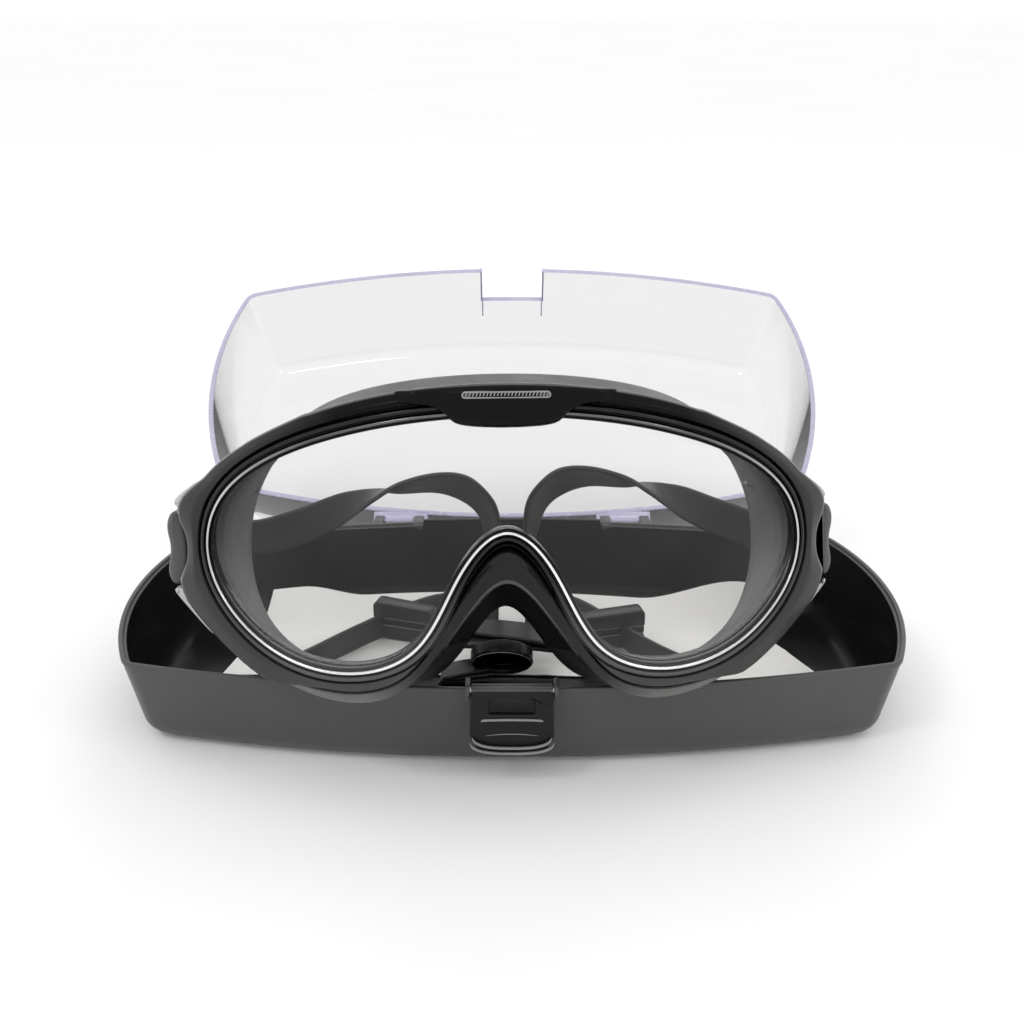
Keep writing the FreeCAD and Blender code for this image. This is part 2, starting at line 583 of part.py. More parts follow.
def make_straps():
    """Left and right strap with their tails, sliders and the loop where they meet."""
    thick = size("strap_thick")
    ground = Placement()
    for side, name in ((-1, "left"), (1, "right")):
        lift = RIGHT_STRAP_LIFT if side > 0 else 0
        start = [tuple(tuple(goggle_frame().multVec(Vector(side * x, y, z))) for x, y, z in BUCKLE_EXIT)]
        if side < 0:
            start.append(LEFT_BEND)
        feature(f"strap_{name}", band(start + side_stations(ARCH_STATIONS, side, lift), thick), ground)
        tail = [((x, y, TAIL_LOW), (x, y, TAIL_HIGH)) for x, y in TAIL_STATIONS[name]]
        feature(f"strap_tail_{name}", band(tail, thick), ground)
        slider = turned_box(SLIDER_LONG, SLIDER_THICK, SLIDER_HIGH, TAIL_LOW - 0.2, *SLIDER_PLACES[name])
        slot = turned_box(30, thick + 1.4, TAIL_HIGH - TAIL_LOW + 1.5, TAIL_LOW - 1, *SLOT_PLACES[name])
        feature(f"strap_slider_{name}", slider.cut(slot), ground)
    inner_radius = COIL_RADIUS - thick
    outer = Part.makeCylinder(COIL_RADIUS, COIL_WIDTH, Vector(0, 0, -COIL_WIDTH))
    coil = outer.cut(Part.makeCylinder(inner_radius, COIL_WIDTH - 0.8, Vector(0, 0, 0.8 - COIL_WIDTH)))
    feature("strap_loop", coil, Placement(COIL_CENTRE, Rotation(Vector(1, 0, 0), COIL_TILT)))
    bridge = [((-13, -6, 11.5), (-11, 3, 12.5)), ((-4, -5, 12.5), (-3, 4.5, 13.5)),
              ((5, -4, 12.5), (5, 5, 13.5)), ((13, -4, 11.5), (12, 4, 12.5))]
    feature("strap_bridge", band(bridge, thick), ground)


make_tray()
make_pins()
make_lid()
make_clasp()
make_leaflet()
make_front()
make_skirt()
make_side_hardware()
make_straps()
doc.recompute()

faults = [item.Name for item in doc.Objects if {"Invalid", "Error"} & set(item.State)]
faults += [item.Label for item in SUB_PARTS if item.Shape.isNull() or not item.Shape.isValid()]
if faults:
    raise RuntimeError(f"failed objects: {faults}")

os.makedirs("parts", exist_ok=True)
for item in SUB_PARTS:
    solids = item.Shape.Solids
    box = item.Shape.optimalBoundingBox()
    print(f"{item.Label:22s} solids {len(solids)} volume {item.Shape.Volume:9.1f} "
          f"x {box.XMin:7.1f} {box.XMax:7.1f} y {box.YMin:7.1f} {box.YMax:7.1f} "
          f"z {box.ZMin:7.1f} {box.ZMax:7.1f}")
    item.Shape.exportStep(f"parts/{item.Label}.step")
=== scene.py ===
"""Looks for one-piece-lens swimming goggles standing in their open carrying case.

Helpers work in millimetres, in the row frame (+X right, +Y to the hinge side, +Z up);
meshes are written in metres. The goggles also have a frame of their own: x right, depth back
from the wrapped front surface, z up along the lens.
"""

from math import atan2, copysign, cos, exp, pi, radians, sin, sqrt, tan

import bmesh
import bpy
from mathutils import Matrix, Vector
from mathutils.geometry import intersect_sphere_sphere_2d


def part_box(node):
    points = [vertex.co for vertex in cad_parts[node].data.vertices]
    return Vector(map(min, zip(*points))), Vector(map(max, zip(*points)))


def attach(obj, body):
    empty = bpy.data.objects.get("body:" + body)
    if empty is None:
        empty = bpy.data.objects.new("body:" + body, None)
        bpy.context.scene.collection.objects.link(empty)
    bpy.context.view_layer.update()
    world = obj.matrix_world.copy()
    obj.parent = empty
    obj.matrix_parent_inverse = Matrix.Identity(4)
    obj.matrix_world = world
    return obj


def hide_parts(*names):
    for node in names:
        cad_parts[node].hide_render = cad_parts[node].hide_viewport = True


MM = 0.001
SIDES = ((-1, "left"), (1, "right"))
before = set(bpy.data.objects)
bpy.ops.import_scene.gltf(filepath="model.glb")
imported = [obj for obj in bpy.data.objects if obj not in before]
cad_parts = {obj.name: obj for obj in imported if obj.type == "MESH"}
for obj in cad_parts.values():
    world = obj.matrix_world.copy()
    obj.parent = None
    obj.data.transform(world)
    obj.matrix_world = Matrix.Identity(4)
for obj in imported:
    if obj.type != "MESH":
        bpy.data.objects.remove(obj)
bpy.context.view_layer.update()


def turned(degrees, axis="Z"):
    """A rotation about an axis."""
    return Matrix.Rotation(radians(degrees), 4, axis)


def shifted(x, y, z):
    return Matrix.Translation((x, y, z))


# ---- sizes, in mm: the case, then the goggles

RIM_HALF_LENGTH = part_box("tray_shell")[1].x / MM
RIM_HALF_DEPTH = 54
SIDE_RADIUS = 391
END_RADIUS = 98
TRAY_HEIGHT = 26
TRAY_WALL = 2
TRAY_DRAFT = 5.5
TRAY_CORNER = 6
TRAY_FOOT = 8
TONGUE_HALF = 28.5
LID_HALF_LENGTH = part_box("lid_shell")[1].x / MM
LID_LOW = 26.5
LID_HIGH = 64.5
LID_WALL = 1.8
LID_DRAFT = 8
LID_ROOF = 9
LID_OPEN = 142.5
NOTCH_HALF = 11.5
NOTCH_HEIGHT = 13.5
HINGE_Y = 57
HINGE_Z = 24
HINGE_X = 37
BARREL = 2
KNUCKLE_HALF = 4.7
EAR = 3
LUG = 1.2
EAR_GAP = 0.3
CLASP_Y = -56.4
CLASP_Z = 27.3
CLASP_HALF = 10
CLASP_LENGTH = 17.6
CLASP_THICK = 1.6
PAPER_THICK = 0.25

LENS_WRAP = 130
LENS_INSET = 2.6
LENS_THICK = 2
FRAME_DEPTH = 8
RIDGES_WIDE = 3.9
COVER_WIDE = 6
SKIRT_WALL = 2.4
BROW_CURVE = 0.0026
STRAP_THICK = 1.4

# Control points of B-splines, (x, z), for the right half of each outline.
LENS_EDGE = [(0, 9), (13, -5), (20, -25), (37, -31), (57, -27), (73, -10), (71, 8), (56, 19.5),
             (36, 26), (18, 29), (0, 30)]
FRAME_EDGE = [(0, 7.5), (13, -15), (25, -37), (51, -35.5), (67, -26), (79, -15), (80, 11),
              (61, 24), (41, 32.5), (20, 36.5), (0, 37.5)]
SKIRT_EDGE = [(0, -2.5), (13, -23.5), (27, -40.5), (49, -39), (65, -29.5), (74, -15), (73.5, 8),
              (60, 20), (41, 30), (20, 35), (0, 36.5)]
FACE_EDGE = [(0, -15), (8, -25.5), (17, -39), (33, -39.5), (50, -37), (64, -28), (69, -10),
             (66, 10), (50, 31), (25, 37.5), (0, 39)]
BUTTON_EDGE = [(84.2, 3.5), (82.2, -2), (81.7, -7), (82.2, -12), (84.2, -16.6), (87.2, -16.8),
               (88.6, -13.5), (87.8, -10.5), (87.2, -8), (87.4, -5), (88.6, -2), (87.4, 2.3)]
ARM_EDGE = [(76, 13), (79.5, 10.2), (83, 8), (86, 5.2), (83.3, 3.9), (80.3, 2.5), (79.5, -7),
            (80.3, -16), (83.3, -17.0), (87, -17.4), (85, -19.3), (80, -23.2), (75.5, -27),
            (72.5, -28.5), (74.5, -14), (76, 0)]
# The cheek beside a button, from top to bottom.
CHEEK = [(46.4, 30.2), (58.8, 24.5), (65.6, 20.2), (72.7, 14.5), (79.4, 9.4), (81.6, 6),
         (81.4, 3.2), (79.2, -1.5), (79.2, -6.8), (81.3, -11.5), (81.8, -13.5), (79.7, -18.1),
         (74.6, -23.2), (69.2, -27.9), (62.6, -32.6), (57.4, -35.2), (51.5, -36.9)]

# Strap stations: the near and far edge of the band; tails stand on edge and need only (x, y).
ARCH_STATIONS = [
    ((-69, -12, 43.5), (-69, -10, 53)), ((-58.5, -6, 43.5), (-58.5, -4, 54)),
    ((-47.5, 0, 47), (-47, 4, 55.5)), ((-38.5, 3, 53.5), (-38.5, 12, 53)),
    ((-31.5, 4, 58), (-32, 12.5, 52)), ((-21.5, 5, 60.5), (-22, 13, 52)),
    ((-13, 6, 59.5), (-15, 13.5, 49.5)), ((-7, 7, 54), (-10, 14, 45)),
    ((-4, 8, 47.5), (-7.5, 14, 38)), ((-3.5, 9, 37), (-5.5, 15, 28)),
    ((-3.5, 11, 25), (-4.5, 17, 16)),
]
TAIL_STATIONS = {
    "left": [(-4.5, 20.5), (-12, 28), (-22, 30), (-33, 22.5), (-46, 9), (-57, -4), (-63, -11)],
    "right": [(4.5, 20.5), (9, 27), (15, 30), (22, 25), (31, 12.5), (39, 1), (47, -8), (54, -13)],
}
TAIL_LOW, TAIL_HIGH = 3.2, 11
LEFT_BEND = ((-75, -16, 47), (-75, -15, 56.5))
BUCKLE_EXIT = ((77.5, 48, -6.5), (77.5, 48, 3.5))
RIGHT_STRAP_LIFT = 2
SLIDER_LONG, SLIDER_THICK, SLIDER_HIGH = 19, 5, 11
SLIDER_PLACES = {"left": (-32.3, 16.4, -17), "right": (30, 11.5, 12)}
COIL_TOP, COIL_LOW, COIL_LIP, COIL_CORE = 8.8, -3.9, 8.35, 0.5

GOGGLES = shifted(-1, -62.8, 68.2) @ turned(2) @ turned(-14, "X")
HINGE = Vector((0, HINGE_Y, HINGE_Z))
OPEN_LID = shifted(*HINGE) @ turned(-LID_OPEN, "X") @ shifted(*-HINGE)
CLASP = shifted(0, CLASP_Y, CLASP_Z)
COIL = shifted(-2.9, -13, 10.2) @ turned(129, "X")

CAMERA_DEGREES, CAMERA_DISTANCE, CAMERA_TARGET = 22.5, 0.349, Vector((0, 0, 0.051))
SENSOR_WIDTH, FOCAL_IN_WIDTHS = 36, 1250 / 1024


# ---- materials

def colour(level, tint=(1, 1, 1)):
    """An RGBA grey of this linear level with a slight tint."""
    return (*(level * part for part in tint), 1)


class Nodes:
    """A material's node tree with short calls for the nodes that the materials share."""

    def __init__(self, name):
        self.material = bpy.data.materials.new(name)
        self.material.use_nodes = True
        self.tree = self.material.node_tree
        self.tree.nodes.clear()
        self.output = self.tree.nodes.new("ShaderNodeOutputMaterial")
        self.place = self.tree.nodes.new("ShaderNodeTexCoord").outputs["Object"]

    def feed(self, socket, value):
        """Link a socket to an output, or give it a value."""
        if hasattr(value, "links"):
            self.tree.links.new(value, socket)
        else:
            socket.default_value = value

    def add(self, kind, **inputs):
        node = self.tree.nodes.new(kind)
        for key, value in inputs.items():
            self.feed(node.inputs[key.replace("_", " ")], value)
        return node

    def noise(self, per_metre, detail=3.0, roughness=0.5, stretch=None):
        place = self.place
        if stretch:
            place = self.add("ShaderNodeMapping", Vector=place, Scale=stretch).outputs["Vector"]
        return self.add("ShaderNodeTexNoise", Vector=place, Scale=per_metre, Detail=detail,
                        Roughness=roughness).outputs["Fac"]

    def between(self, factor, low=0, high=1, from_low=0.3, from_high=0.7):
        return self.add("ShaderNodeMapRange", Value=factor, From_Min=from_low, From_Max=from_high,
                        To_Min=low, To_Max=high).outputs["Result"]

    def mix(self, factor, first, second, blend="MIX"):
        node = self.tree.nodes.new("ShaderNodeMix")
        node.data_type, node.blend_type = "RGBA", blend
        for index, value in ((0, factor), (6, first), (7, second)):
            self.feed(node.inputs[index], value)
        return node.outputs[2]

    def bump(self, height, distance, strength=1.0, after=None):
        node = self.add("ShaderNodeBump", Height=height, Distance=distance, Strength=strength)
        if after is not None:
            self.tree.links.new(after, node.inputs["Normal"])
        return node.outputs["Normal"]

    def skin(self, grain):
        """The normal of a moulded surface: a fine grain on slow waves."""
        fine = self.bump(self.noise(2600, detail=2), grain, 0.3)
        return self.bump(self.noise(60, detail=1), 0.00006, 0.5, fine)

    def finish(self, shader):
        self.tree.links.new(shader.outputs[0], self.output.inputs["Surface"])
        return self.material

    def surface(self, **inputs):
        """The material with this one shader."""
        return self.finish(self.add("ShaderNodeBsdfPrincipled", **inputs))


def moulded(name, dark, light, smooth, rough, grain=0.00002, specular=0.5, tint=(1, 1, 1)):
    """A moulded plastic or silicone: cloudy colour, faint scuffs in the gloss, a fine grain."""
    nodes = Nodes(name)
    cloud, speck = nodes.noise(38, detail=4), nodes.noise(900, detail=2)
    base = nodes.mix(nodes.between(cloud), colour(dark, tint), colour(light, tint))
    base = nodes.mix(nodes.between(speck, 0, 0.25), base, colour(light * 1.15, tint))
    scuffs = nodes.noise(120, detail=6, roughness=0.65)
    return nodes.surface(Base_Color=base, Roughness=nodes.between(scuffs, smooth, rough),
                         Normal=nodes.skin(grain), Specular_IOR_Level=specular)


def graded(name, sides, heights, levels, smooth, rough, specular=0.3, metallic=0.0,
           grain=0.00001, tint=(1, 1, 1)):
    """A moulded material whose grey runs with the height and with the distance from the middle.

    levels are the grey low in the middle, high in the middle, low and high at the sides."""
    nodes = Nodes(name)
    parts = nodes.add("ShaderNodeSeparateXYZ", Vector=nodes.place).outputs
    distance = nodes.add("ShaderNodeMath")
    distance.operation = "ABSOLUTE"
    nodes.tree.links.new(parts["X"], distance.inputs[0])
    outward = nodes.between(distance.outputs[0], 0, 1, *(value * MM for value in sides))
    upward = nodes.between(parts["Z"], 0, 1, *(value * MM for value in heights))
    greys = [colour(level, tint) for level in levels]
    base = nodes.mix(outward, nodes.mix(upward, *greys[:2]), nodes.mix(upward, *greys[2:]))
    cloud = nodes.between(nodes.noise(45, detail=4))
    base = nodes.mix(1, base, nodes.mix(cloud, colour(0.88), colour(1.1)), "MULTIPLY")
    scuffs = nodes.noise(120, detail=6)
    return nodes.surface(Base_Color=base, Metallic=metallic,
                         Roughness=nodes.between(scuffs, smooth, rough),
                         Normal=nodes.skin(grain), Specular_IOR_Level=specular)


def clear(name, level, smooth, rough, ior=1.46):
    """Clear moulded plastic that lets lamp light through to what is behind it."""
    nodes = Nodes(name)
    smears = nodes.noise(26, detail=5, roughness=0.6)
    waves = nodes.noise(30, detail=1)
    glass = nodes.add("ShaderNodeBsdfPrincipled", Base_Color=colour(level), IOR=ior,
                      Transmission_Weight=1.0, Roughness=nodes.between(smears, smooth, rough),
                      Normal=nodes.bump(waves, 0.00002, 0.3))
    through = nodes.add("ShaderNodeBsdfTransparent", Color=colour(level))
    path = nodes.tree.nodes.new("ShaderNodeLightPath")
    mixer = nodes.tree.nodes.new("ShaderNodeMixShader")
    for index, output in enumerate((path.outputs["Is Shadow Ray"], glass.outputs[0],
                                    through.outputs[0])):
        nodes.tree.links.new(output, mixer.inputs[index])
    return nodes.finish(mixer)


def violet_edge(name):
    """Where clear plastic is seen edge-on it gathers a pale violet."""
    nodes = Nodes(name)
    cloud = nodes.between(nodes.noise(60, detail=3))
    return nodes.surface(Base_Color=nodes.mix(cloud, (0.56, 0.53, 0.73, 1), (0.66, 0.63, 0.80, 1)),
                         Transmission_Weight=0.25, IOR=1.46,
                         Roughness=nodes.between(nodes.noise(200), 0.18, 0.32),
                         Normal=nodes.bump(nodes.noise(900), 0.00002))


def paper(name):
    """Uncoated paper: fibres, a little tooth and soft greying."""
    nodes = Nodes(name)
    fibres = nodes.noise(900, detail=6, roughness=0.7, stretch=(1, 0.25, 1))
    cloud = nodes.between(nodes.noise(30, detail=3))
    base = nodes.mix(cloud, (0.80, 0.79, 0.76, 1), (0.86, 0.855, 0.83, 1))
    base = nodes.mix(nodes.between(fibres, 0, 0.3), base, (0.72, 0.71, 0.68, 1))
    return nodes.surface(Base_Color=base, Roughness=nodes.between(fibres, 0.75, 0.95),
                         Normal=nodes.bump(fibres, 0.00003, 0.6), Specular_IOR_Level=0.3)


def drawn_steel(name):
    """Drawn wire with fine lines along its length."""
    nodes = Nodes(name)
    lines = nodes.noise(2500, detail=3, stretch=(0.04, 1, 1))
    base = nodes.mix(nodes.between(lines), colour(0.42), colour(0.6))
    return nodes.surface(Base_Color=base, Metallic=1.0, Roughness=nodes.between(lines, 0.2, 0.38),
                         Normal=nodes.bump(lines, 0.00001))


WARM = (1.02, 1.0, 0.965)
TRAY = moulded("tray_satin", 0.056, 0.064, 0.32, 0.42, specular=0.35)
TRAY_INSIDE = moulded("tray_inner_gloss", 0.006, 0.009, 0.16, 0.24, 0.000001, 0.12)
CLASP_BLACK = moulded("clasp_black", 0.006, 0.009, 0.26, 0.36, 0.00001, 0.2)
CLASP_ROLL = moulded("clasp_roll_satin", 0.05, 0.07, 0.28, 0.36, 0.00001, 0.4)
# Light grey for thin ridges and lips: a painted highlight, used on the clasp bars, the coil rim and
# the slider lines.
PAINTED_HIGHLIGHT_LINE = moulded("painted_highlight_edge", 0.16, 0.22, 0.2, 0.28, 0.000005, 0.6)
# Frame ridges: lighter low in the middle and a little at the low sides, a painted reflection of the
# floor; near black above.
FRAME_RIDGES = graded("frame_ridges", (48, 66), (44, 62), (0.07, 0.003, 0.04, 0.005), 0.16, 0.24)
# Frame cover: lighter low in the middle, a painted reflection of the floor; black on top, warm grey
# at the sides.
FRAME_COVER = graded("frame_cover", (40, 62), (46, 66), (0.06, 0.002, 0.042, 0.034), 0.22, 0.30,
                     specular=0.10, tint=WARM)
PLAQUE = moulded("brow_piano_black", 0.001, 0.002, 0.10, 0.16, 0.000003, 0.12)
# Bead crest: near white low down, dark grey above, a painted highlight where the crest faces up to
# the light, on a metal finish.
BEAD_PAINTED_HIGHLIGHT = graded("bead_bright", (30, 60), (72, 90), (0.85, 0.14, 0.60, 0.08), 0.10, 0.16, 0.5,
              metallic=1.0, grain=0.000001)
BADGE_LINE = moulded("badge_line", 0.22, 0.28, 0.3, 0.4, 0.00001)
BADGE_DARK = moulded("badge_dark", 0.02, 0.03, 0.3, 0.4, 0.00001)
# Skirt: near black across the middle around the nose, painted shade; much lighter on the lower
# sides, a painted highlight where the lip catches the light.
SKIRT = graded("skirt_silicone", (22, 34), (38, 52), (0.014, 0.008, 0.13, 0.042), 0.26, 0.36,
               specular=0.25, tint=WARM)
# Near black for the nose tunnel's walls: painted shade inside the tunnel.
SKIRT_NOSE_PAINTED_SHADE = moulded("skirt_nose_painted_shade", 0.004, 0.006, 0.18, 0.26, 0.000002, 0.2)
# Lighter grey along the nose saddle's crest: a painted highlight on the ridge.
SKIRT_CREST_PAINTED_HIGHLIGHT = moulded("skirt_crest_painted_highlight", 0.040, 0.055, 0.20, 0.28, 0.000002)
SKIRT_INSIDE = graded("skirt_inside", (40, 66), (40, 80), (0.20, 0.20, 0.20, 0.14), 0.36, 0.48)
SILVER = moulded("side_silver", 0.38, 0.46, 0.34, 0.44, 0.00001, tint=WARM)
BUTTON = moulded("button_satin", 0.036, 0.046, 0.36, 0.46, specular=0.3)
STRAP = moulded("strap_silicone", 0.030, 0.038, 0.34, 0.46, 0.000002, 0.3, WARM)
STRAP_DARK = moulded("strap_silicone_dark", 0.016, 0.024, 0.34, 0.46, 0.000012, 0.25)
SLIDER = moulded("slider_satin", 0.024, 0.032, 0.32, 0.44, specular=0.3)
# Near black for the coil, far darker than the strap it rolls from: painted shade for the dark
# inside of the roll.
COIL_PAINTED_SHADE = moulded("coil_painted_shade", 0.004, 0.006, 0.22, 0.32, 0.00001, 0.2)
LENS_CLEAR = clear("lens_clear", 0.985, 0.0, 0.01, ior=1.25)
LID_CLEAR = clear("lid_clear", 0.81, 0.01, 0.02)
LID_EDGE = violet_edge("lid_violet_edge")
PAPER = paper("leaflet_paper")
STEEL = drawn_steel("drawn_steel")


# ---- meshes

def lattice(rows, ring=False, cap=False):
    """Points and faces of a skin over closed rows of points.

    ring joins the last row to the first, cap closes both ends."""
    wide = len(rows[0])
    points = [Vector(point) for row in rows for point in row]
    faces = []
    for i in range(len(rows) - (not ring)):
        first, second = i * wide, (i + 1) % len(rows) * wide
        for j in range(wide):
            k = (j + 1) % wide
            faces.append((first + j, first + k, second + k, second + j))
    if cap:
        faces.append(tuple(range(wide - 1, -1, -1)))
        faces.append(tuple(range(len(points) - wide, len(points))))
    return points, faces


def solid(rows):
    """A skin over closed rows of points, with a cap at both ends."""
    return lattice(rows, cap=True)


def hoop(rows):
    """A skin over closed rows of points that run around a ring."""
    return lattice(rows, ring=True)


def joined(*parts):
    """Several (points, faces) as one."""
    points, faces = [], []
    for more_points, more_faces in parts:
        start = len(points)
        points += more_points
        faces += [tuple(start + n for n in face) for face in more_faces]
    return points, faces


def placed(name, data):
    """A new object in the scene."""
    item = bpy.data.objects.new(name, data)
    bpy.context.scene.collection.objects.link(item)
    return item


def piece(name, shape, materials, node=None, body="goggles", place=Matrix.Identity(4),
          sharp=40, choose=None, paint=None):
    """A finished mesh piece that rides on a body and may replace a CAD node.

    choose gives a face's material from its middle and normal, paint from its number."""
    materials = materials if isinstance(materials, (list, tuple)) else [materials]
    points, faces = shape
    mesh = bpy.data.meshes.new(name)
    mesh.from_pydata([place @ point * MM for point in points], [], faces)
    if paint:
        for face in mesh.polygons:
            face.material_index = paint(face.index)
    work = bmesh.new()
    work.from_mesh(mesh)
    bmesh.ops.remove_doubles(work, verts=work.verts, dist=1e-7)
    bmesh.ops.dissolve_degenerate(work, dist=1e-8, edges=work.edges)
    bmesh.ops.recalc_face_normals(work, faces=work.faces)
    back = place.inverted()
    for face in work.faces:
        face.smooth = True
        if choose:
            face.material_index = choose(back @ (face.calc_center_median() / MM),
                                         back.to_3x3() @ face.normal)
    work.to_mesh(mesh)
    work.free()
    mesh.set_sharp_from_angle(angle=radians(sharp))
    for material in materials:
        mesh.materials.append(material)
    item = placed(name, mesh)
    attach(item, body)
    if node:
        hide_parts(node)


def repaint(node, material):
    """A CAD node keeps its shape and gets a better material."""
    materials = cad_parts[node].data.materials
    materials.clear()
    materials.append(material)


def smooth_step(value):
    value = max(0.0, min(1.0, value))
    return value * value * (3 - 2 * value)


def circle(count):
    """Unit vectors around a full turn."""
    return [Vector((cos(turn), sin(turn))) for turn in (2 * pi * n / count for n in range(count))]


def arc(centre, radius, start, end, steps):
    """The points of an arc after its first one."""
    turns = (start + (end - start) * n / steps for n in range(1, steps + 1))
    return [centre + Vector((cos(turn), sin(turn))) * radius for turn in turns]


def both_sides(half):
    """A line that starts in the middle, with its mirror image in X before it."""
    return [(-x, *rest) for x, *rest in half[:0:-1]] + half


def rounded_path(corners, closed=True, steps=5):
    """A 2-D path through (a, b, radius) corners, each radius an exact arc."""
    path = []
    count = len(corners)
    for n, (a, b, radius) in enumerate(corners):
        here = Vector((a, b))
        if radius <= 0 or (not closed and n in (0, count - 1)):
            path.append(here)
            continue
        to_last = Vector(corners[n - 1][:2]) - here
        to_next = Vector(corners[(n + 1) % count][:2]) - here
        half = to_last.angle(to_next) / 2
        reach = min(radius / tan(half), 0.49 * to_last.length, 0.49 * to_next.length)
        start, end = here + to_last.normalized() * reach, here + to_next.normalized() * reach
        weight = sin(half)
        for step in range(steps + 1):
            t = step / steps
            parts = (1 - t) ** 2, 2 * weight * t * (1 - t), t * t
            path.append((start * parts[0] + here * parts[1] + end * parts[2]) / sum(parts))
    return path


def rounded_rectangle(left, low, right, high, radius, steps):
    corners = (left, low), (right, low), (right, high), (left, high)
    return rounded_path([(*corner, radius) for corner in corners], steps=steps)


def spline_loop(poles, steps=8):
    """A closed uniform cubic B-spline of its poles, steps points for each pole."""
    points = []
    count = len(poles)
    for n in range(count):
        for step in range(steps):
            t = step / steps
            weights = ((1 - t) ** 3 / 6, (3 * t ** 3 - 6 * t * t + 4) / 6,
                       (-3 * t ** 3 + 3 * t * t + 3 * t + 1) / 6, t ** 3 / 6)
            points.append(sum((poles[(n + k - 1) % count] * w for k, w in enumerate(weights)),
                              Vector((0, 0))))
    return points


def catmull(points, steps=8):
    """A smooth open line through its points."""
    points = [Vector(point) for point in points]
    ends = [points[0] * 2 - points[1], *points, points[-1] * 2 - points[-2]]
    line = []
    for n in range(len(points) - 1):
        a, b, c, d = ends[n:n + 4]
        for step in range(steps):
            t = step / steps
            line.append(((b * 2) + (c - a) * t + (a * 2 - b * 5 + c * 4 - d) * t * t
                         + (b * 3 - a - c * 3 + d) * t ** 3) / 2)
    return [*line, points[-1]]


def resampled(path, count):
    """The same closed path with evenly spread points."""
    ring = [*path, path[0]]
    lengths = [0.0]
    for first, second in zip(ring, ring[1:]):
        lengths.append(lengths[-1] + (second - first).length)
    points, n = [], 0
    for k in range(count):
        want = lengths[-1] * k / count
        while lengths[n + 1] < want:
            n += 1
        share = (want - lengths[n]) / max(lengths[n + 1] - lengths[n], 1e-9)
        points.append(ring[n].lerp(ring[n + 1], share))
    return points


def matched(path, guide, centre):
    """The closed path turned so that its points face the guide's points, seen from centre."""
    target = (guide[0] - centre).normalized()
    start = max(range(len(path)), key=lambda n: (path[n] - centre).normalized().dot(target))
    line = path[start:] + path[:start]
    quarter = len(path) // 4
    same = (line[quarter] - centre).dot(guide[quarter] - centre)
    return line if same > 0 else [line[0], *line[:0:-1]]


def shrunk(path, inset):
    """A closed 2-D path moved inward by inset."""
    area = sum(a.x * b.y - b.x * a.y for a, b in zip(path, [*path[1:], path[0]]))
    sign = 1 if area > 0 else -1
    inner = []
    for n, point in enumerate(path):
        ahead = (path[(n + 1) % len(path)] - path[n - 1]).normalized()
        inner.append(point + Vector((-ahead.y, ahead.x)) * sign * inset)
    return inner


def block(low, high, round_off, steps=3):
    """A box with all its edges rounded, built from rounded rectangles stacked in Z."""
    low, high = Vector(low), Vector(high)
    turns = [pi / 2 * n / steps for n in range(steps + 1)]
    levels = [(low.z + round_off * (1 - cos(turn)), round_off * (1 - sin(turn)))
              for turn in turns]
    levels += [(low.z + high.z - z, inset) for z, inset in reversed(levels)]
    rows = []
    for z, inset in levels:
        path = rounded_rectangle(low.x + inset, low.y + inset, high.x - inset, high.y - inset,
                                 max(round_off - inset, 0.02), steps)
        rows.append([(p.x, p.y, z) for p in path])
    return solid(rows)


def along_x(path, start, end, round_off):
    """A closed 2-D (y, z) path extruded along X with softened ends."""
    middle = sum(path, Vector((0, 0))) / len(path)
    reach = max((p - middle).length for p in path)
    bevel = round_off * 0.3
    rows = []
    for x, inset in ((start, round_off), (start + bevel, bevel), (start + round_off, 0),
                     (end - round_off, 0), (end - bevel, bevel), (end, round_off)):
        share = 1 - inset / reach
        rows.append([(x, middle.x + (p.x - middle.x) * share, middle.y + (p.y - middle.y) * share)
                     for p in path])
    return solid(rows)


# ---- case

def boat(half_length, inset, corner, breaks=()):
    """A closed outline of bowed sides and ends, moved in by inset, starting at the rear middle."""
    side = Vector((0, RIM_HALF_DEPTH - SIDE_RADIUS))
    end = Vector((half_length - END_RADIUS, 0))
    side_radius, end_radius = SIDE_RADIUS - inset, END_RADIUS - inset
    middle = max(intersect_sphere_sphere_2d(side, side_radius - corner, end, end_radius - corner),
                 key=sum)
    on_side = middle + (middle - side).normalized() * corner
    on_end = middle + (middle - end).normalized() * corner
    side_xs = [0, *breaks]
    last = side_xs[-1]
    side_xs += [last + (on_side.x - last) * n / 22 for n in range(1, 23)]
    quarter = [Vector((x, side.y + sqrt(side_radius ** 2 - x * x))) for x in side_xs]
    first, second = (atan2((p - middle).y, (p - middle).x) for p in (on_side, on_end))
    quarter += arc(middle, corner, first, second, 7)
    quarter += arc(end, end_radius, atan2(on_end.y, on_end.x - end.x), 0, 18)
    half = quarter + [Vector((p.x, -p.y)) for p in quarter[-2::-1]]
    return half + [Vector((-p.x, p.y)) for p in half[-2:0:-1]]


def side_y(inset, x):
    """Y of the rear wall's surface at x."""
    return RIM_HALF_DEPTH - SIDE_RADIUS + sqrt((SIDE_RADIUS - inset) ** 2 - x * x)


def eye(middle, half, y, z, radius, web_y, bore):
    """A bearing eye with its bore, on a short web that runs back to web_y."""
    centre = Vector((y, z))
    rays, soft = circle(32), 0.2
    fars = [radius if ray.x * (web_y - y) <= 0 else
            min(abs(web_y - y) / abs(ray.x), radius / max(abs(ray.y), 1e-6)) for ray in rays]
    rows = []
    for x, cut in ((-half, None), (-half, soft), (soft - half, 0), (half - soft, 0), (half, soft),
                   (half, None)):
        path = [centre + ray * (bore if cut is None else far - cut) for ray, far in zip(rays, fars)]
        rows.append([(middle + x, p.x, p.y) for p in path])
    return hoop(rows)


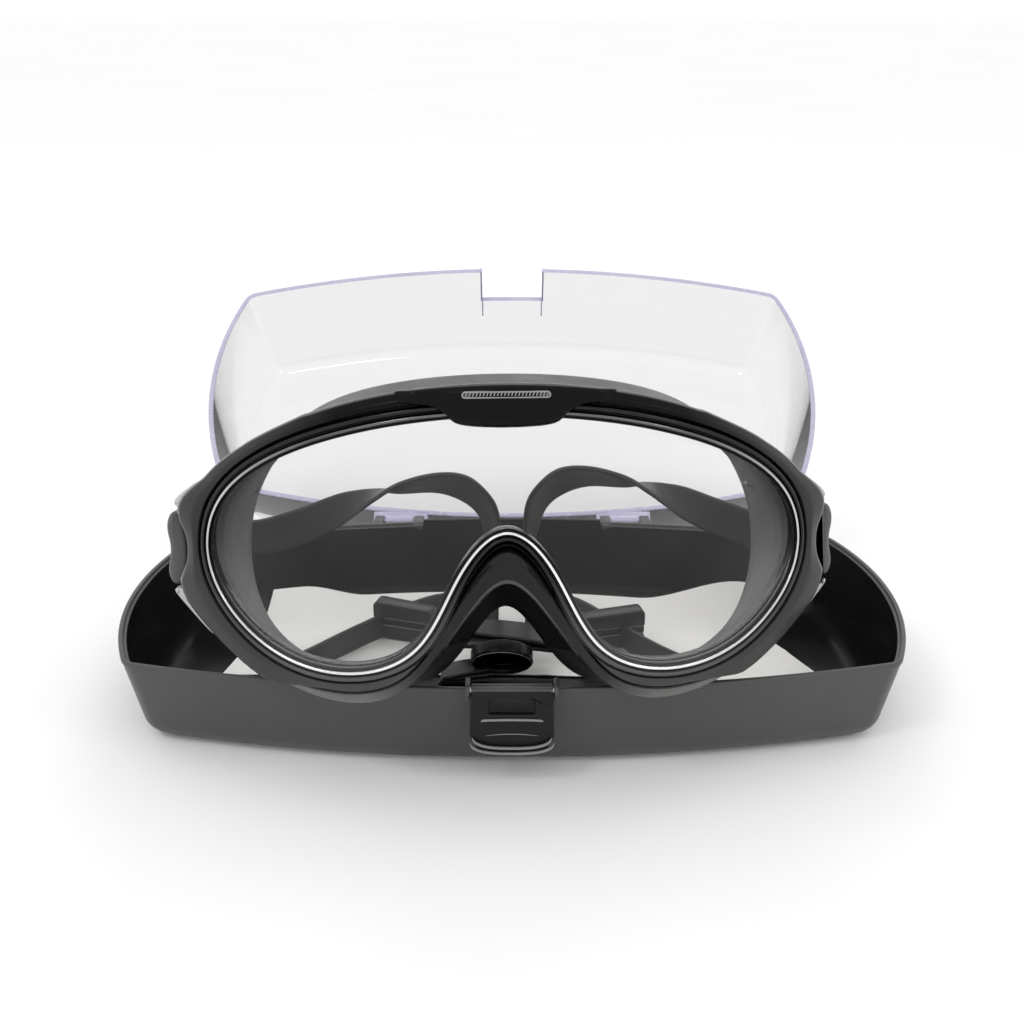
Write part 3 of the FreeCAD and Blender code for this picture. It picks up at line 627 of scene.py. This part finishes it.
def make_tray():
    """The dark tray: satin outside, glossy inside, with a stepped rim."""
    step_low = TRAY_HEIGHT - 0.9
    profile = rounded_path([
        (TRAY_DRAFT + 26, 0, 0), (TRAY_DRAFT, 0, TRAY_FOOT),
        (TRAY_DRAFT / TRAY_HEIGHT * 1.4, TRAY_HEIGHT - 1.4, 0.3), (0, TRAY_HEIGHT - 1.1, 0.3),
        (0, TRAY_HEIGHT, 0.45), (1.25, TRAY_HEIGHT, 0.3), (1.35, step_low, 0.15),
        (TRAY_WALL + 0.07, step_low, 0.25),
        (TRAY_WALL + TRAY_DRAFT, TRAY_WALL, TRAY_FOOT - TRAY_WALL),
        (TRAY_DRAFT + 30, TRAY_WALL, 0)], closed=False, steps=7)
    rows = []
    for n, point in enumerate(profile):
        inner = smooth_step((n / len(profile) - 0.45) * 10)
        corner = TRAY_CORNER - TRAY_WALL * inner
        rows.append([(p.x, p.y, point.y) for p in boat(RIM_HALF_LENGTH, point.x, corner)])

    def inside(middle, normal):
        return int(TRAY_WALL - 0.1 < middle.z < step_low - 0.3 and normal.z > 0.02)

    piece("tray_body", solid(rows), [TRAY, TRAY_INSIDE], "tray_shell", "case_tray",
          choose=inside)

    path = rounded_path([(1.7, 27.5, 0.4), (3.35, 27.5, 0.4), (7.2, 8, 0.4), (5.5, 8, 0)], steps=4)
    rows = []
    for n in range(25):
        x = TONGUE_HALF * (n / 12 - 1)
        rows.append([(x, side_y(p.x, x), p.y) for p in path])
    piece("tray_tongue", solid(rows), TRAY_INSIDE, body="case_tray")

    for side, name in SIDES:
        for place, shift in (("inner", -1), ("outer", 1)):
            middle = side * (HINGE_X + shift * (KNUCKLE_HALF + EAR_GAP + EAR / 2))
            piece(f"hinge_ear_{name}_{place}",
                  eye(middle, EAR / 2, HINGE_Y, HINGE_Z, BARREL, 50.5, 1.0),
                  TRAY, body="case_tray")
        repaint(f"hinge_pin_{name}", STEEL)
        half = LUG / 2
        middle = side * (CLASP_HALF + EAR_GAP + half)
        web = block((middle - half, -55.9, 23.3), (middle + half, -52.6, 27.6), 0.25)
        lug = joined(eye(middle, half, CLASP_Y, CLASP_Z, 1.5, -53, 0.7), web)
        piece(f"clasp_lug_{name}", lug, TRAY, body="case_tray")
    repaint("clasp_pin", STEEL)


def in_notch(outline, n):
    """True for a front point inside the clasp notch, or the inner one of two on its edge."""
    here = outline[n]
    if here.y > 0 or abs(here.x) > NOTCH_HALF + 0.01:
        return False
    if abs(here.x) < NOTCH_HALF - 0.01:
        return True
    before, after = outline[n - 1], outline[(n + 1) % len(outline)]
    other = after if (before - here).length < 1e-6 else before
    return abs(other.x) < abs(here.x)


def upright(x, half, low_y, high_y, z):
    """The four corners of a bar's section at a height."""
    return [(x - half, low_y, z), (x + half, low_y, z), (x + half, high_y, z),
            (x - half, high_y, z)]


def make_lid():
    """The clear lid: a shell with a clasp notch and two hinge flanges, swung open."""
    slope = LID_DRAFT / (LID_HIGH - LID_LOW)
    flat = LID_DRAFT + 34
    path = rounded_path([
        (flat, LID_HIGH, 0), (LID_DRAFT, LID_HIGH, LID_ROOF), (0, LID_LOW, 0.5),
        (LID_WALL, LID_LOW, 0.5),
        (LID_WALL + LID_DRAFT, LID_HIGH - LID_WALL, LID_ROOF - LID_WALL),
        (flat, LID_HIGH - LID_WALL, 0)], closed=False, steps=8)
    notch_top = LID_LOW + NOTCH_HEIGHT
    breaks = (NOTCH_HALF / 2, NOTCH_HALF, NOTCH_HALF)
    rows = []
    for point in path:
        depth = min(max((point.x - slope * (point.y - LID_LOW)) / LID_WALL, 0), 1)
        corner = TRAY_CORNER - LID_WALL * depth
        row = [(p.x, p.y, point.y) for p in boat(LID_HALF_LENGTH, point.x, corner, breaks)]
        missing = notch_top - point.y
        if missing > 0:
            lifted = boat(LID_HALF_LENGTH, point.x + missing * slope, corner, breaks)
            row = [(q.x, q.y, notch_top) if in_notch(lifted, n) else row[n]
                   for n, q in enumerate(lifted)]
        rows.append(row)

    def edge(middle, normal):
        at_notch = (abs(middle.x) < NOTCH_HALF + 0.1 and middle.y < 0
                    and middle.z < notch_top + 0.1)
        return int(middle.z < LID_LOW + 0.35 or at_notch)

    piece("lid_body", solid(rows), [LID_CLEAR, LID_EDGE], "lid_shell", "case_lid",
          place=OPEN_LID, choose=edge)

    def detail(name, shape):
        piece(name, shape, LID_EDGE, body="case_lid", place=OPEN_LID)

    for side, name in SIDES:
        rib = []
        for z, out in ((notch_top, 0.8), (notch_top + 7, 0.05)):
            y = -side_y(LID_WALL + slope * (z - LID_LOW), NOTCH_HALF)
            rib.append(upright(side * (NOTCH_HALF - 0.2), 0.25, y - 0.2, y + out, z))
        detail(f"lid_rib_{name}", solid(rib))
        bar = []
        for z in (LID_LOW + 0.1, notch_top + 0.1):
            lean = slope * (z - LID_LOW)
            bar.append(upright(side * (NOTCH_HALF + 0.1), 0.3, -side_y(lean, NOTCH_HALF),
                               -side_y(LID_WALL + lean, NOTCH_HALF), z))
        detail(f"lid_notch_edge_{name}", solid(bar))
        middle = side * HINGE_X
        detail(f"lid_flange_{name}",
               block((middle - 9, 51.5, LID_LOW), (middle + 9, 57.5, LID_LOW + 1.6), 0.5))
        ring = [Vector((HINGE_Y, HINGE_Z)) + ray * BARREL for ray in circle(28)]
        knuckle = along_x(ring, middle - KNUCKLE_HALF, middle + KNUCKLE_HALF, 0.3)
        web = block((middle - KNUCKLE_HALF, HINGE_Y - 1, HINGE_Z),
                    (middle + KNUCKLE_HALF, HINGE_Y + 1, 27.6), 0.3)
        detail(f"lid_knuckle_{name}", joined(knuckle, web))


def make_clasp():
    """The flip clasp: hinge roll, framed window, thumb ridge, finger pocket and a rolled lip."""
    low, many = -CLASP_LENGTH, 96
    outline = resampled(rounded_path([
        (-CLASP_HALF, 0.3, 0.6), (CLASP_HALF, 0.3, 0.6), (CLASP_HALF + 0.5, -13, 5),
        (CLASP_HALF - 1.6, low + 1, 3), (0, low - 0.5, 26), (1.6 - CLASP_HALF, low + 1, 3),
        (-CLASP_HALF - 0.5, -13, 5)], steps=6), many)
    window = resampled(rounded_rectangle(-5.6, -1.9, 5.6, -6.4, 0.4, 4), many)
    window = matched(window, outline, Vector((0, -4.1)))
    front, soft = -CLASP_THICK, 0.35
    rows = []
    for path, y, inset in ((window, 0, 0), (outline, 0, 0.2), (outline, -0.2, 0),
                           (outline, front + soft, 0), (outline, front + soft * 0.3, soft * 0.3),
                           (outline, front, soft), (window, front, -0.25),
                           (window, front + 0.25, 0)):
        rows.append([(p.x, y, p.y) for p in shrunk(path, inset)])
    piece("clasp_plate", hoop(rows), CLASP_BLACK, "clasp", "case_clasp",
          place=CLASP)

    def bar(name, half_line, radius, flat=1.0):
        """A round bar along a smooth line on the clasp's face, thinning at both ends."""
        line = catmull(both_sides(half_line))
        outward = Vector((0, 1, 0))
        rows = []
        for n, p in enumerate(line):
            ahead = line[min(n + 1, len(line) - 1)] - line[max(n - 1, 0)]
            across = ahead.cross(outward).normalized()
            share = min(1, (min(n, len(line) - 1 - n) + 0.4) / 8) ** 0.6
            rows.append([p + (across * ray.x + outward * ray.y * flat) * radius * share
                         for ray in circle(12)])
        # Every bar is painted light grey: a painted highlight along it.
        piece(name, solid(rows), PAINTED_HIGHLIGHT_LINE, body="case_clasp", place=CLASP)

    turns = [2 * pi * n / 72 for n in range(72)]
    roll = [Vector((cos(a), sin(a))) * (1.44 + 0.06 * cos(12 * a)) for a in turns]
    piece("clasp_roll", along_x(roll, -CLASP_HALF, CLASP_HALF, 0.3), CLASP_ROLL,
          body="case_clasp", place=CLASP)
    bar("clasp_ridge", [(0, front - 0.2, -7.5), (3, front - 0.2, -7.55),
                        (6.9, front - 0.1, -7.75), (7.7, front, -8.2)], 0.34)
    bar("clasp_pocket_line", [(0, front - 0.02, -11.7), (3, front - 0.02, -11.8),
                              (6.6, front, -12.2)], 0.12)
    lip = [(0, -15.9), (4, -15.8), (7.2, -15.3), (9.4, -14.3), (10.3, -12.9)]
    bar("clasp_lip_inner", [(x * 0.96, front - 0.5, z + 0.4) for x, z in lip], 0.34, 1.4)
    bar("clasp_lip_outer", [(x * 1.02, front - 0.1, z - 1.35) for x, z in lip], 0.36, 1.4)


def make_leaflet():
    """A folded leaflet on the tray floor whose rear corners curl up the walls."""
    across, deep = 56, 26
    rows = []
    for i in range(across + 1):
        u = i / across
        line = []
        for j in range(deep + 1):
            v = j / deep
            left, right = -84 + 9 * v, 91 - 18 * v
            x = left + (right - left) * u
            y = -6 - 5 * max(0, 2 * u - 1) + (46 - 8 * abs(2 * u - 1) ** 2.5) * v
            fold = 0.5 * exp(-((x - 9) / 1.2) ** 2) + 0.4 * exp(-((y - 8) / 1.4) ** 2)
            rear = max(0, v - 0.62) / 0.38
            curl = 4.2 * rear ** 2 + 9.5 * rear ** 1.6 * smooth_step((x - 40) / 32)
            curl += 4.5 * rear ** 1.6 * smooth_step((-x - 46) / 20)
            wave = 0.18 * sin(x / 9) * sin(y / 7 + 1)
            line.append((x, y, 2.35 + max(0, fold * 0.5 + wave) + curl))
        rows.append([(x, y, z + PAPER_THICK) for x, y, z in line] + line[::-1])
    piece("leaflet_sheet", solid(rows), PAPER, "leaflet", "case_tray", sharp=60)


# ---- goggles

def grown(half, grow=0.0):
    """Both halves of an outline's control points, each moved outward by grow."""
    ring = half + [(-x, z) for x, z in half[-2:0:-1]]
    poles = []
    for n, (x, z) in enumerate(ring):
        before, after = ring[n - 1], ring[(n + 1) % len(ring)]
        step = Vector((after[0] - before[0], after[1] - before[1])).normalized()
        poles.append(Vector((x + grow * step.y, z - grow * step.x)))
    return poles


def blended(first, second, share):
    """Poles between two outlines' poles."""
    return [a.lerp(b, share) for a, b in zip(first, second)]


def wrapped(x, depth, z):
    """A point of the goggles at a depth behind the wrapped front, in the row frame."""
    y = LENS_WRAP - sqrt((LENS_WRAP - depth) ** 2 - x * x)
    return GOGGLES @ Vector((x, y, z))


def ring_of(poles, depth, steps=8):
    """A closed ring of points at one depth, or at a depth for each point."""
    loop = spline_loop(poles, steps)
    depths = depth if isinstance(depth, list) else [depth] * len(loop)
    return [wrapped(p.x, d, p.y) for p, d in zip(loop, depths)]


def frame_poles(u):
    """Poles at u mm outside the lens edge over the ridges, then to the frame's outer edge."""
    if u <= RIDGES_WIDE:
        return grown(LENS_EDGE, u)
    return blended(grown(LENS_EDGE, RIDGES_WIDE), grown(FRAME_EDGE), (u - RIDGES_WIDE) / COVER_WIDE)


def cheeked(u, depth, steps):
    """A ring of the frame's cover, widened at the sides to the cheeks beside the buttons."""
    share = max(0, (u - RIDGES_WIDE) / COVER_WIDE)
    line = catmull(CHEEK)
    rims = spline_loop(grown(FRAME_EDGE), steps)
    ring = []
    for p, rim in zip(spline_loop(frame_poles(u), steps), rims):
        wide = 0
        for a, b in zip(line, line[1:]):
            if abs(rim.x) > 45 and b.y <= rim.y < a.y:
                wide = a.x + (b.x - a.x) * (a.y - rim.y) / (a.y - b.y)
        extra = max(0, wide - abs(rim.x)) * share ** 1.2
        ring.append(wrapped(p.x + copysign(extra, p.x), depth, p.y))
    return ring


def make_front():
    """Frame ring with its ridges and cover, the bead with its painted highlight, and the lens."""
    profile = rounded_path([
        (0.25, FRAME_DEPTH, 0.3), (0.25, 4.65, 0.2), (0.8, 4.65, 0.1), (0.8, 2.5, 0.1),
        (1.9, 2.5, 0.1), (1.9, 1.2, 0.1), (2.15, 1.2, 0.1), (2.3, -0.1, 0.6), (3.2, -0.35, 0.8),
        (3.6, 0.5, 0.3), (3.7, 1.7, 0.15), (4.2, 1.7, 0.15), (4.2, FRAME_DEPTH, 0.2)], steps=4)
    piece("frame_ridge_ring", hoop([ring_of(frame_poles(p.x), p.y) for p in profile]),
          FRAME_RIDGES, "front_frame", sharp=60)
    profile = rounded_path([
        (4.15, FRAME_DEPTH - 0.1, 0.2), (4.15, 1.0, 0.2), (4.4, 0.1, 0.5), (6.2, -0.3, 2.2),
        (9.3, 0.9, 1.2), (9.9, 2.6, 1.0), (9.9, FRAME_DEPTH - 0.1, 0.4)])
    piece("frame_cover_ring", hoop([cheeked(p.x, p.y, 14) for p in profile]), FRAME_COVER,
          sharp=60)

    profile = rounded_path([
        (0.02, 2.45, 0.1), (0.02, 1.25, 0.2), (0.3, 0.95, 0.15), (0.55, 1.25, 0.1),
        (0.8, 1.2, 0.1), (0.88, -0.25, 0.33), (1.62, -0.25, 0.33), (1.72, 1.1, 0.2),
        (1.8, 2.45, 0.1)])
    rows = [ring_of(grown(LENS_EDGE, p.x), p.y, 12) for p in profile]
    # The bead's crest rows take the painted highlight; the rest of the bead takes the frame ridges'
    # colour.
    crest = [p.y < 0.9 and p.x > 0.7 for p in profile]
    piece("lens_bead_ring", hoop(rows), [FRAME_RIDGES, BEAD_PAINTED_HIGHLIGHT], "lens_bead", sharp=60,
          paint=lambda number: int(crest[number // len(rows[0])]))

    edge = spline_loop(grown(LENS_EDGE, 1.15))
    shares = [n / 8 for n in range(9)]

    def pane(depth, inward):
        """Rings across the lens, drawn in from its edge to a short line above the nose."""
        return [[wrapped(q.x, depth, q.y)
                 for q in (p.lerp(Vector((p.x * 0.8, 12.5)), share) for p in edge)]
                for share in inward]

    rows = pane(LENS_INSET + 0.02, shares[::-1]) + pane(LENS_INSET + LENS_THICK - 0.02, shares)
    piece("lens_pane", lattice(rows), LENS_CLEAR, "lens", sharp=50)


def make_plaque():
    """The gloss plaque in the middle of the brow and the badge in it."""
    bottom = catmull(both_sides([(0, 27.35), (4.5, 27.45), (9, 27.8), (11.8, 28.6), (14.2, 30.6),
                                 (17, 32.1), (21, 32.6), (25, 32.9)]), 6)
    deep = 14
    rows = []
    for p in bottom:
        top = 37.2 - BROW_CURVE * p.x * p.x
        row = [wrapped(p.x, 1.5, p.y + 0.3)]
        thick = 1.35 * smooth_step((25 - abs(p.x)) / 4)
        for n in range(deep + 1):
            share = n / deep
            rise = min(share * 5, (1 - share) * 3.2, 1)
            depth = 0.25 - (0.25 + thick) * sqrt(1 - (1 - rise) ** 2)
            row.append(wrapped(p.x, depth, p.y + (top - p.y) * share))
        row.append(wrapped(p.x, 1.5, top - 0.2))
        rows.append(row)
    piece("brow_plaque", solid(rows), PLAQUE, "brow_cover", sharp=50)

    half, z, thick = 10.0, 35.0, 0.8

    def capsule(grow, depth):
        """The badge's bowed outline, grown by grow, at a depth."""
        radius = thick + grow
        path = rounded_rectangle(-half - grow, z - radius, half + grow, z + radius, radius, 6)
        return [wrapped(p.x, depth, p.y - BROW_CURVE * p.x * p.x) for p in path]

    rim = [capsule(grow, depth) for grow, depth in (
        (0, -1.0), (0, -1.6), (-0.08, -1.7), (-0.28, -1.7), (-0.36, -1.6), (-0.36, -1.1))]
    piece("badge_rim", lattice(rim), BADGE_LINE, "badge_inlay")
    piece("badge_floor", solid([capsule(-0.3, -1.0), capsule(-0.36, -1.42)]), BADGE_DARK)
    hatches = []
    count, lean, wide = 24, 0.28, 0.13
    for n in range(count):
        x = (half - 0.9) * (2 * n / (count - 1) - 1)
        foot = z - 0.42 - BROW_CURVE * x * x
        corners = ((x - wide, foot), (x + wide, foot), (x + wide + lean, foot + 0.84),
                   (x - wide + lean, foot + 0.84))
        hatches.append(solid([[wrapped(a, depth, b) for a, b in corners]
                              for depth in (-1.3, -1.55)]))
    piece("badge_hatching", joined(*hatches), BADGE_LINE)


def make_skirt():
    """The silicone skirt: a lip around the frame, the nose saddle and walls to the face edge."""
    lip, rear, edge = grown(SKIRT_EDGE), grown(FACE_EDGE), grown(FRAME_EDGE)
    frame_loop, lip_loop = spline_loop(edge), spline_loop(lip)
    stand = []
    for n, (inner, outer) in enumerate(zip(frame_loop, lip_loop)):
        ahead = frame_loop[(n + 1) % len(frame_loop)] - frame_loop[n - 1]
        outward = Vector((ahead.y, -ahead.x)).normalized()
        stand.append(smooth_step(((outer - inner).dot(outward) + 0.2) / 2.2))
    nose = [smooth_step((17 - abs(p.x)) / 14) * smooth_step((-p.y + 4) / 4) if p.y < 5 else 0.0
            for p in frame_loop]

    def depths(past, forward, at_nose=0.0):
        """Depths past the frame, further forward where the lip stands out past it."""
        return [FRAME_DEPTH + past - forward * s + at_nose * k for s, k in zip(stand, nose)]

    rows = [ring_of(grown(LENS_EDGE, 0.6), FRAME_DEPTH + 0.05)]
    # From the frame's edge out over the lip: share, then what depths asks for.
    rows += [ring_of(blended(edge, lip, share), depths(*reach)) for share, *reach in (
        (0.02, 0.05, 0), (0.06, 0.1, 5.2), (0.14, 0.15, 6.4), (0.22, 0.15, 6.5),
        (0.36, 0.2, 6.0, 1.3), (0.55, 0.3, 5.8, 1.5), (0.74, 0.4, 5.2, 0.7),
        (0.86, 0.6, 4.7, -0.5), (0.95, 0.8, 4.2, -0.8), (1.0, 1.1, 3.4, -0.5))]
    # The wall back to the face edge, the rolled edge itself and the inside back to the lens.
    rows.append(ring_of(blended(lip, rear, 0.05), depths(1.6, 2.0)))
    rows += [ring_of(blended(lip, rear, share), FRAME_DEPTH + past) for share, past in (
        (0.12, 2.4), (0.28, 4.2), (0.52, 7.4), (0.76, 10.6), (0.94, 13))]
    rows += [ring_of(grown(FACE_EDGE, grow), depth) for grow, depth in (
        (0.1, 22.2), (-0.4, 22.9), (-1.4, 23.1), (-2.2, 22.6), (-SKIRT_WALL, 21.4))]
    inner_face = grown(FACE_EDGE, -SKIRT_WALL)
    rows += [ring_of(blended(grown(half, grow), inner_face, share), depth)
             for half, grow, share, depth in (
                 (SKIRT_EDGE, -SKIRT_WALL, 0.72, 17), (LENS_EDGE, 1.5, 0.34, 13.4),
                 (LENS_EDGE, 1.2, 0.16, 11.6), (LENS_EDGE, 0.9, 0.10, 11.2))]
    rows.append(ring_of(grown(LENS_EDGE, 0.7), 9.6))

    def paint(number):
        row, column = divmod(number, len(nose))
        at_nose = nose[column] > 0.02
        if row >= 19:
            return 2
        # Crest rows over the nose take the painted highlight.
        if row in (8, 9, 10) and at_nose:
            return 3
        # Further back over the nose, the tunnel walls take the painted shade.
        return int(row >= 9 and at_nose)

    piece("skirt_body", hoop(rows), [SKIRT, SKIRT_NOSE_PAINTED_SHADE, SKIRT_INSIDE, SKIRT_CREST_PAINTED_HIGHLIGHT],
          "face_skirt", sharp=70, paint=paint)


def plate(path, front, back, soft, mirror):
    """A plate with softened edges between two depths, from a closed (x, z) path."""
    levels = [(back, 0.15), (back - 0.15, 0.0)]
    for n in range(4):
        turn = pi / 2 * n / 3
        levels.append((front + soft * (1 - sin(turn)), soft * (1 - cos(turn))))
    levels.append((front - 0.12, soft + 0.8))
    return solid([[wrapped(mirror * p.x, depth, p.y) for p in shrunk(path, inset)]
                  for depth, inset in levels])


def make_sides():
    """Side arms, release buttons and buckles on both sides."""
    bean, arm = (spline_loop([Vector(p) for p in edge], 5) for edge in (BUTTON_EDGE, ARM_EDGE))
    for side, name in SIDES:
        piece(f"release_button_{name}_cap", plate(bean, 8.7, 15.2, 0.9, side), BUTTON,
              f"release_button_{name}", f"{name}_button", sharp=55)
        piece(f"side_arm_{name}_trim", plate(arm, 8.2, 11.3, 0.5, side), SILVER,
              f"side_arm_{name}", sharp=55)
        repaint(f"buckle_housing_{name}", BUTTON)
        repaint(f"strap_roller_{name}", STEEL)


# ---- straps

def ribbon(stations, thick=STRAP_THICK):
    """A flat band with rounded, slightly raised edges through its near and far edge points."""
    near, far = (catmull(line) for line in zip(*stations))
    rows = []
    for n, (a, b) in enumerate(zip(near, far)):
        first, last = max(n - 1, 0), min(n + 1, len(near) - 1)
        ahead = near[last] + far[last] - near[first] - far[first]
        across = (b - a).normalized()
        normal = ahead.cross(across).normalized()
        middle, half = (a + b) / 2, (b - a).length / 2
        bulge, web = thick / 2, thick / 2 * 0.82
        outline = [(half, 0), (half - 0.12 * thick, bulge * 0.72), (half - 0.5 * thick, bulge),
                   (half - 1.1 * thick, web)]
        section = outline + [(-x, y) for x, y in reversed(outline)]
        section += [(-x, -y) for x, y in outline[1:]] + [(x, -y) for x, y in outline[:0:-1]]
        rows.append([middle + across * x + normal * y for x, y in section])
    return solid(rows)


def moved(matrix, stations):
    """The same stations moved by a matrix."""
    return [tuple(matrix @ Vector(p) for p in pair) for pair in stations]


def make_coil():
    """The rolled end of the strap, tipped forward, and the flat layers that cross over it."""
    rays = circle(64)
    # The profile ends in a floor inside the rim: a dark sheet set where the inside of the roll is
    # only shade; the whole coil takes the painted shade.
    profile = rounded_path([
        (COIL_CORE, COIL_LOW, 0), (COIL_TOP, COIL_LOW, 0.9), (8.9, -0.1, 0.5), (7.9, 0.15, 0.5),
        (7.5, -0.9, 0.3), (7.3, -2.9, 0.6), (COIL_CORE, -3.1, 0)], closed=False)
    rows = [[(ray.x * p.x, ray.y * p.x, p.y) for ray in rays] for p in profile]
    piece("strap_coil", solid(rows), COIL_PAINTED_SHADE, "strap_loop", place=COIL, sharp=50)
    # A thin tube around the coil's lip, painted light grey: a painted highlight on the rim.
    tube = [ray * 0.14 for ray in circle(8)]
    rows = [[(ray.x * (COIL_LIP + p.x), ray.y * (COIL_LIP + p.x), 0.1 + p.y) for p in tube]
            for ray in rays]
    piece("strap_coil_rim", hoop(rows), PAINTED_HIGHLIGHT_LINE, place=COIL)

    crossing = [((-15, -4, 9.4), (-13, 4.6, 9.8)), ((-5, -5, 10.0), (-4, 4.6, 10.4)),
                ((5, -5, 10.0), (5.5, 4.6, 10.4)), ((13, -5, 9.4), (13, 4, 9.8))]
    layers = [ribbon(moved(turned(turn) @ shifted(shift, 0.8, lift), crossing), 1.3)
              for lift, turn, shift in ((0, -4, 0), (1.6, 8, 1.2), (3.1, -14, -0.8))]
    piece("strap_bridge_band", joined(*layers), STRAP_DARK,
          "strap_bridge", sharp=60)
    folded = [((-11, -5.5, 3.6), (-10, 2.5, 3.6)), ((-4, -4.5, 3.7), (-4, 3.5, 3.7)),
              ((3, -4.0, 3.8), (3, 3.5, 3.8))]
    fan = [ribbon(moved(shifted(-10, -8, lift) @ turned(turn), folded), 1.2)
           for lift, turn in ((0, 0), (1.5, 7), (3.0, 13))]
    piece("strap_folded_end", joined(*fan), STRAP_DARK, sharp=60)


def make_slider(side, name):
    """The chunky keeper on a strap tail, its outer top corner raised, its face stepped twice."""
    x, y, degrees = SLIDER_PLACES[name]
    place = shifted(x, y, 3) @ turned(degrees)
    half, thick = SLIDER_LONG / 2, SLIDER_THICK / 2
    layers = []
    for low, high, out in ((0, 4.4, 0.3), (4.2, 6.9, -0.25), (6.7, SLIDER_HIGH, 0.2)):
        raised = 0.9 if high == SLIDER_HIGH else 0
        outline = rounded_path([
            (-half, low, 0.5), (half, low, 0.5), (half, high + raised * (side > 0), 1.6),
            (-half, high + raised * (side < 0), 1.6)])
        face = -thick - out
        rows = [[(p.x, depth, p.y) for p in shrunk(outline, inset)] for depth, inset in (
            (face, 0.35), (face + 0.12, 0.12), (face + 0.35, 0), (thick - 0.35, 0),
            (thick - 0.12, 0.12), (thick, 0.35))]
        layers.append(solid(rows))
    piece(f"strap_slider_{name}_body", joined(*layers), SLIDER,
          f"strap_slider_{name}", place=place, sharp=45)
    # Two thin lines on the steps, painted light grey: painted highlights on the step edges.
    lines = [block((-half + 0.3, -thick - out - 0.12, z - 0.1), (half - 0.3, -thick, z + 0.12),
                   0.08) for z, out in ((4.45, 0.2), (6.75, 0.1))]
    piece(f"strap_slider_{name}_lines", joined(*lines), PAINTED_HIGHLIGHT_LINE, place=place)


def make_straps():
    """Straps, tails and sliders on both sides, and the coil where they meet."""
    for side, name in SIDES:
        lift = RIGHT_STRAP_LIFT if side > 0 else 0
        stations = [tuple(GOGGLES @ Vector((side * x, y, z)) for x, y, z in BUCKLE_EXIT)]
        if side < 0:
            stations.append(LEFT_BEND)
        mirror = Matrix.Diagonal((-side, 1, 1, 1))
        stations += moved(shifted(0, 0, lift) @ mirror, ARCH_STATIONS)
        piece(f"strap_{name}_band", ribbon(stations), STRAP,
              f"strap_{name}", sharp=60)
        tail = [((x, y, TAIL_LOW), (x, y, TAIL_HIGH)) for x, y in TAIL_STATIONS[name]]
        piece(f"strap_tail_{name}_band", ribbon(tail), STRAP,
              f"strap_tail_{name}", sharp=60)
        make_slider(side, name)
    make_coil()


# ---- studio, in metres

def aim(item, target):
    """Point a camera or lamp at a place."""
    item.rotation_mode = "QUATERNION"
    item.rotation_quaternion = (Vector(target) - item.location).to_track_quat("-Z", "Y")


def lamp(name, place, width, height, watts):
    """A soft rectangular lamp aimed at the middle of the object."""
    data = bpy.data.lights.new(name, "AREA")
    data.shape = "RECTANGLE"
    data.size, data.size_y = width, height
    data.energy = watts
    item = placed(name, data)
    item.location = place
    aim(item, (0, 0, 0.05))


def make_studio():
    """A pale round floor, a soft grey sky, lamps and the camera."""
    rows = [[(radius * ray.x, radius * ray.y, -0.00005) for ray in circle(48)]
            for radius in (0.0005, 0.2, 0.6, 1.5, 4, 10)]
    points, faces = lattice(rows)
    mesh = bpy.data.meshes.new("floor")
    mesh.from_pydata(points, [], faces)
    floor = placed("floor", mesh)
    nodes = Nodes("floor_pale")
    shade = nodes.mix(nodes.between(nodes.noise(3)), colour(0.91), colour(0.93))
    mesh.materials.append(nodes.surface(Base_Color=shade, Roughness=0.85, Specular_IOR_Level=0.2))

    world = bpy.data.worlds.new("studio")
    world.use_nodes = True
    sky = world.node_tree.nodes["Background"].inputs
    sky["Color"].default_value = (0.985, 0.985, 0.99, 1)
    sky["Strength"].default_value = 1.08
    scene = bpy.context.scene
    scene.world = world

    lamp("key", (-0.55, -0.55, 0.95), 0.2, 0.2, 1.4)
    lamp("fill", (0.8, -0.45, 0.7), 0.16, 0.16, 0.7)
    lamp("spark", (-0.06, -0.5, 0.62), 0.04, 0.04, 0.12)
    lamp("rear", (0.1, 0.9, 0.8), 0.5, 0.12, 0.8)

    rise = radians(CAMERA_DEGREES)
    data = bpy.data.cameras.new("camera")
    data.sensor_width = SENSOR_WIDTH
    data.lens = SENSOR_WIDTH * FOCAL_IN_WIDTHS
    data.clip_start, data.clip_end = 0.01, 50
    camera = placed("camera", data)
    camera.location = CAMERA_TARGET + CAMERA_DISTANCE * Vector((0, -cos(rise), sin(rise)))
    aim(camera, CAMERA_TARGET)
    scene.camera = camera
    scene.view_settings.view_transform = "Standard"


make_tray()
make_lid()
make_clasp()
make_leaflet()
make_front()
make_plaque()
make_skirt()
make_sides()
make_straps()
make_studio()
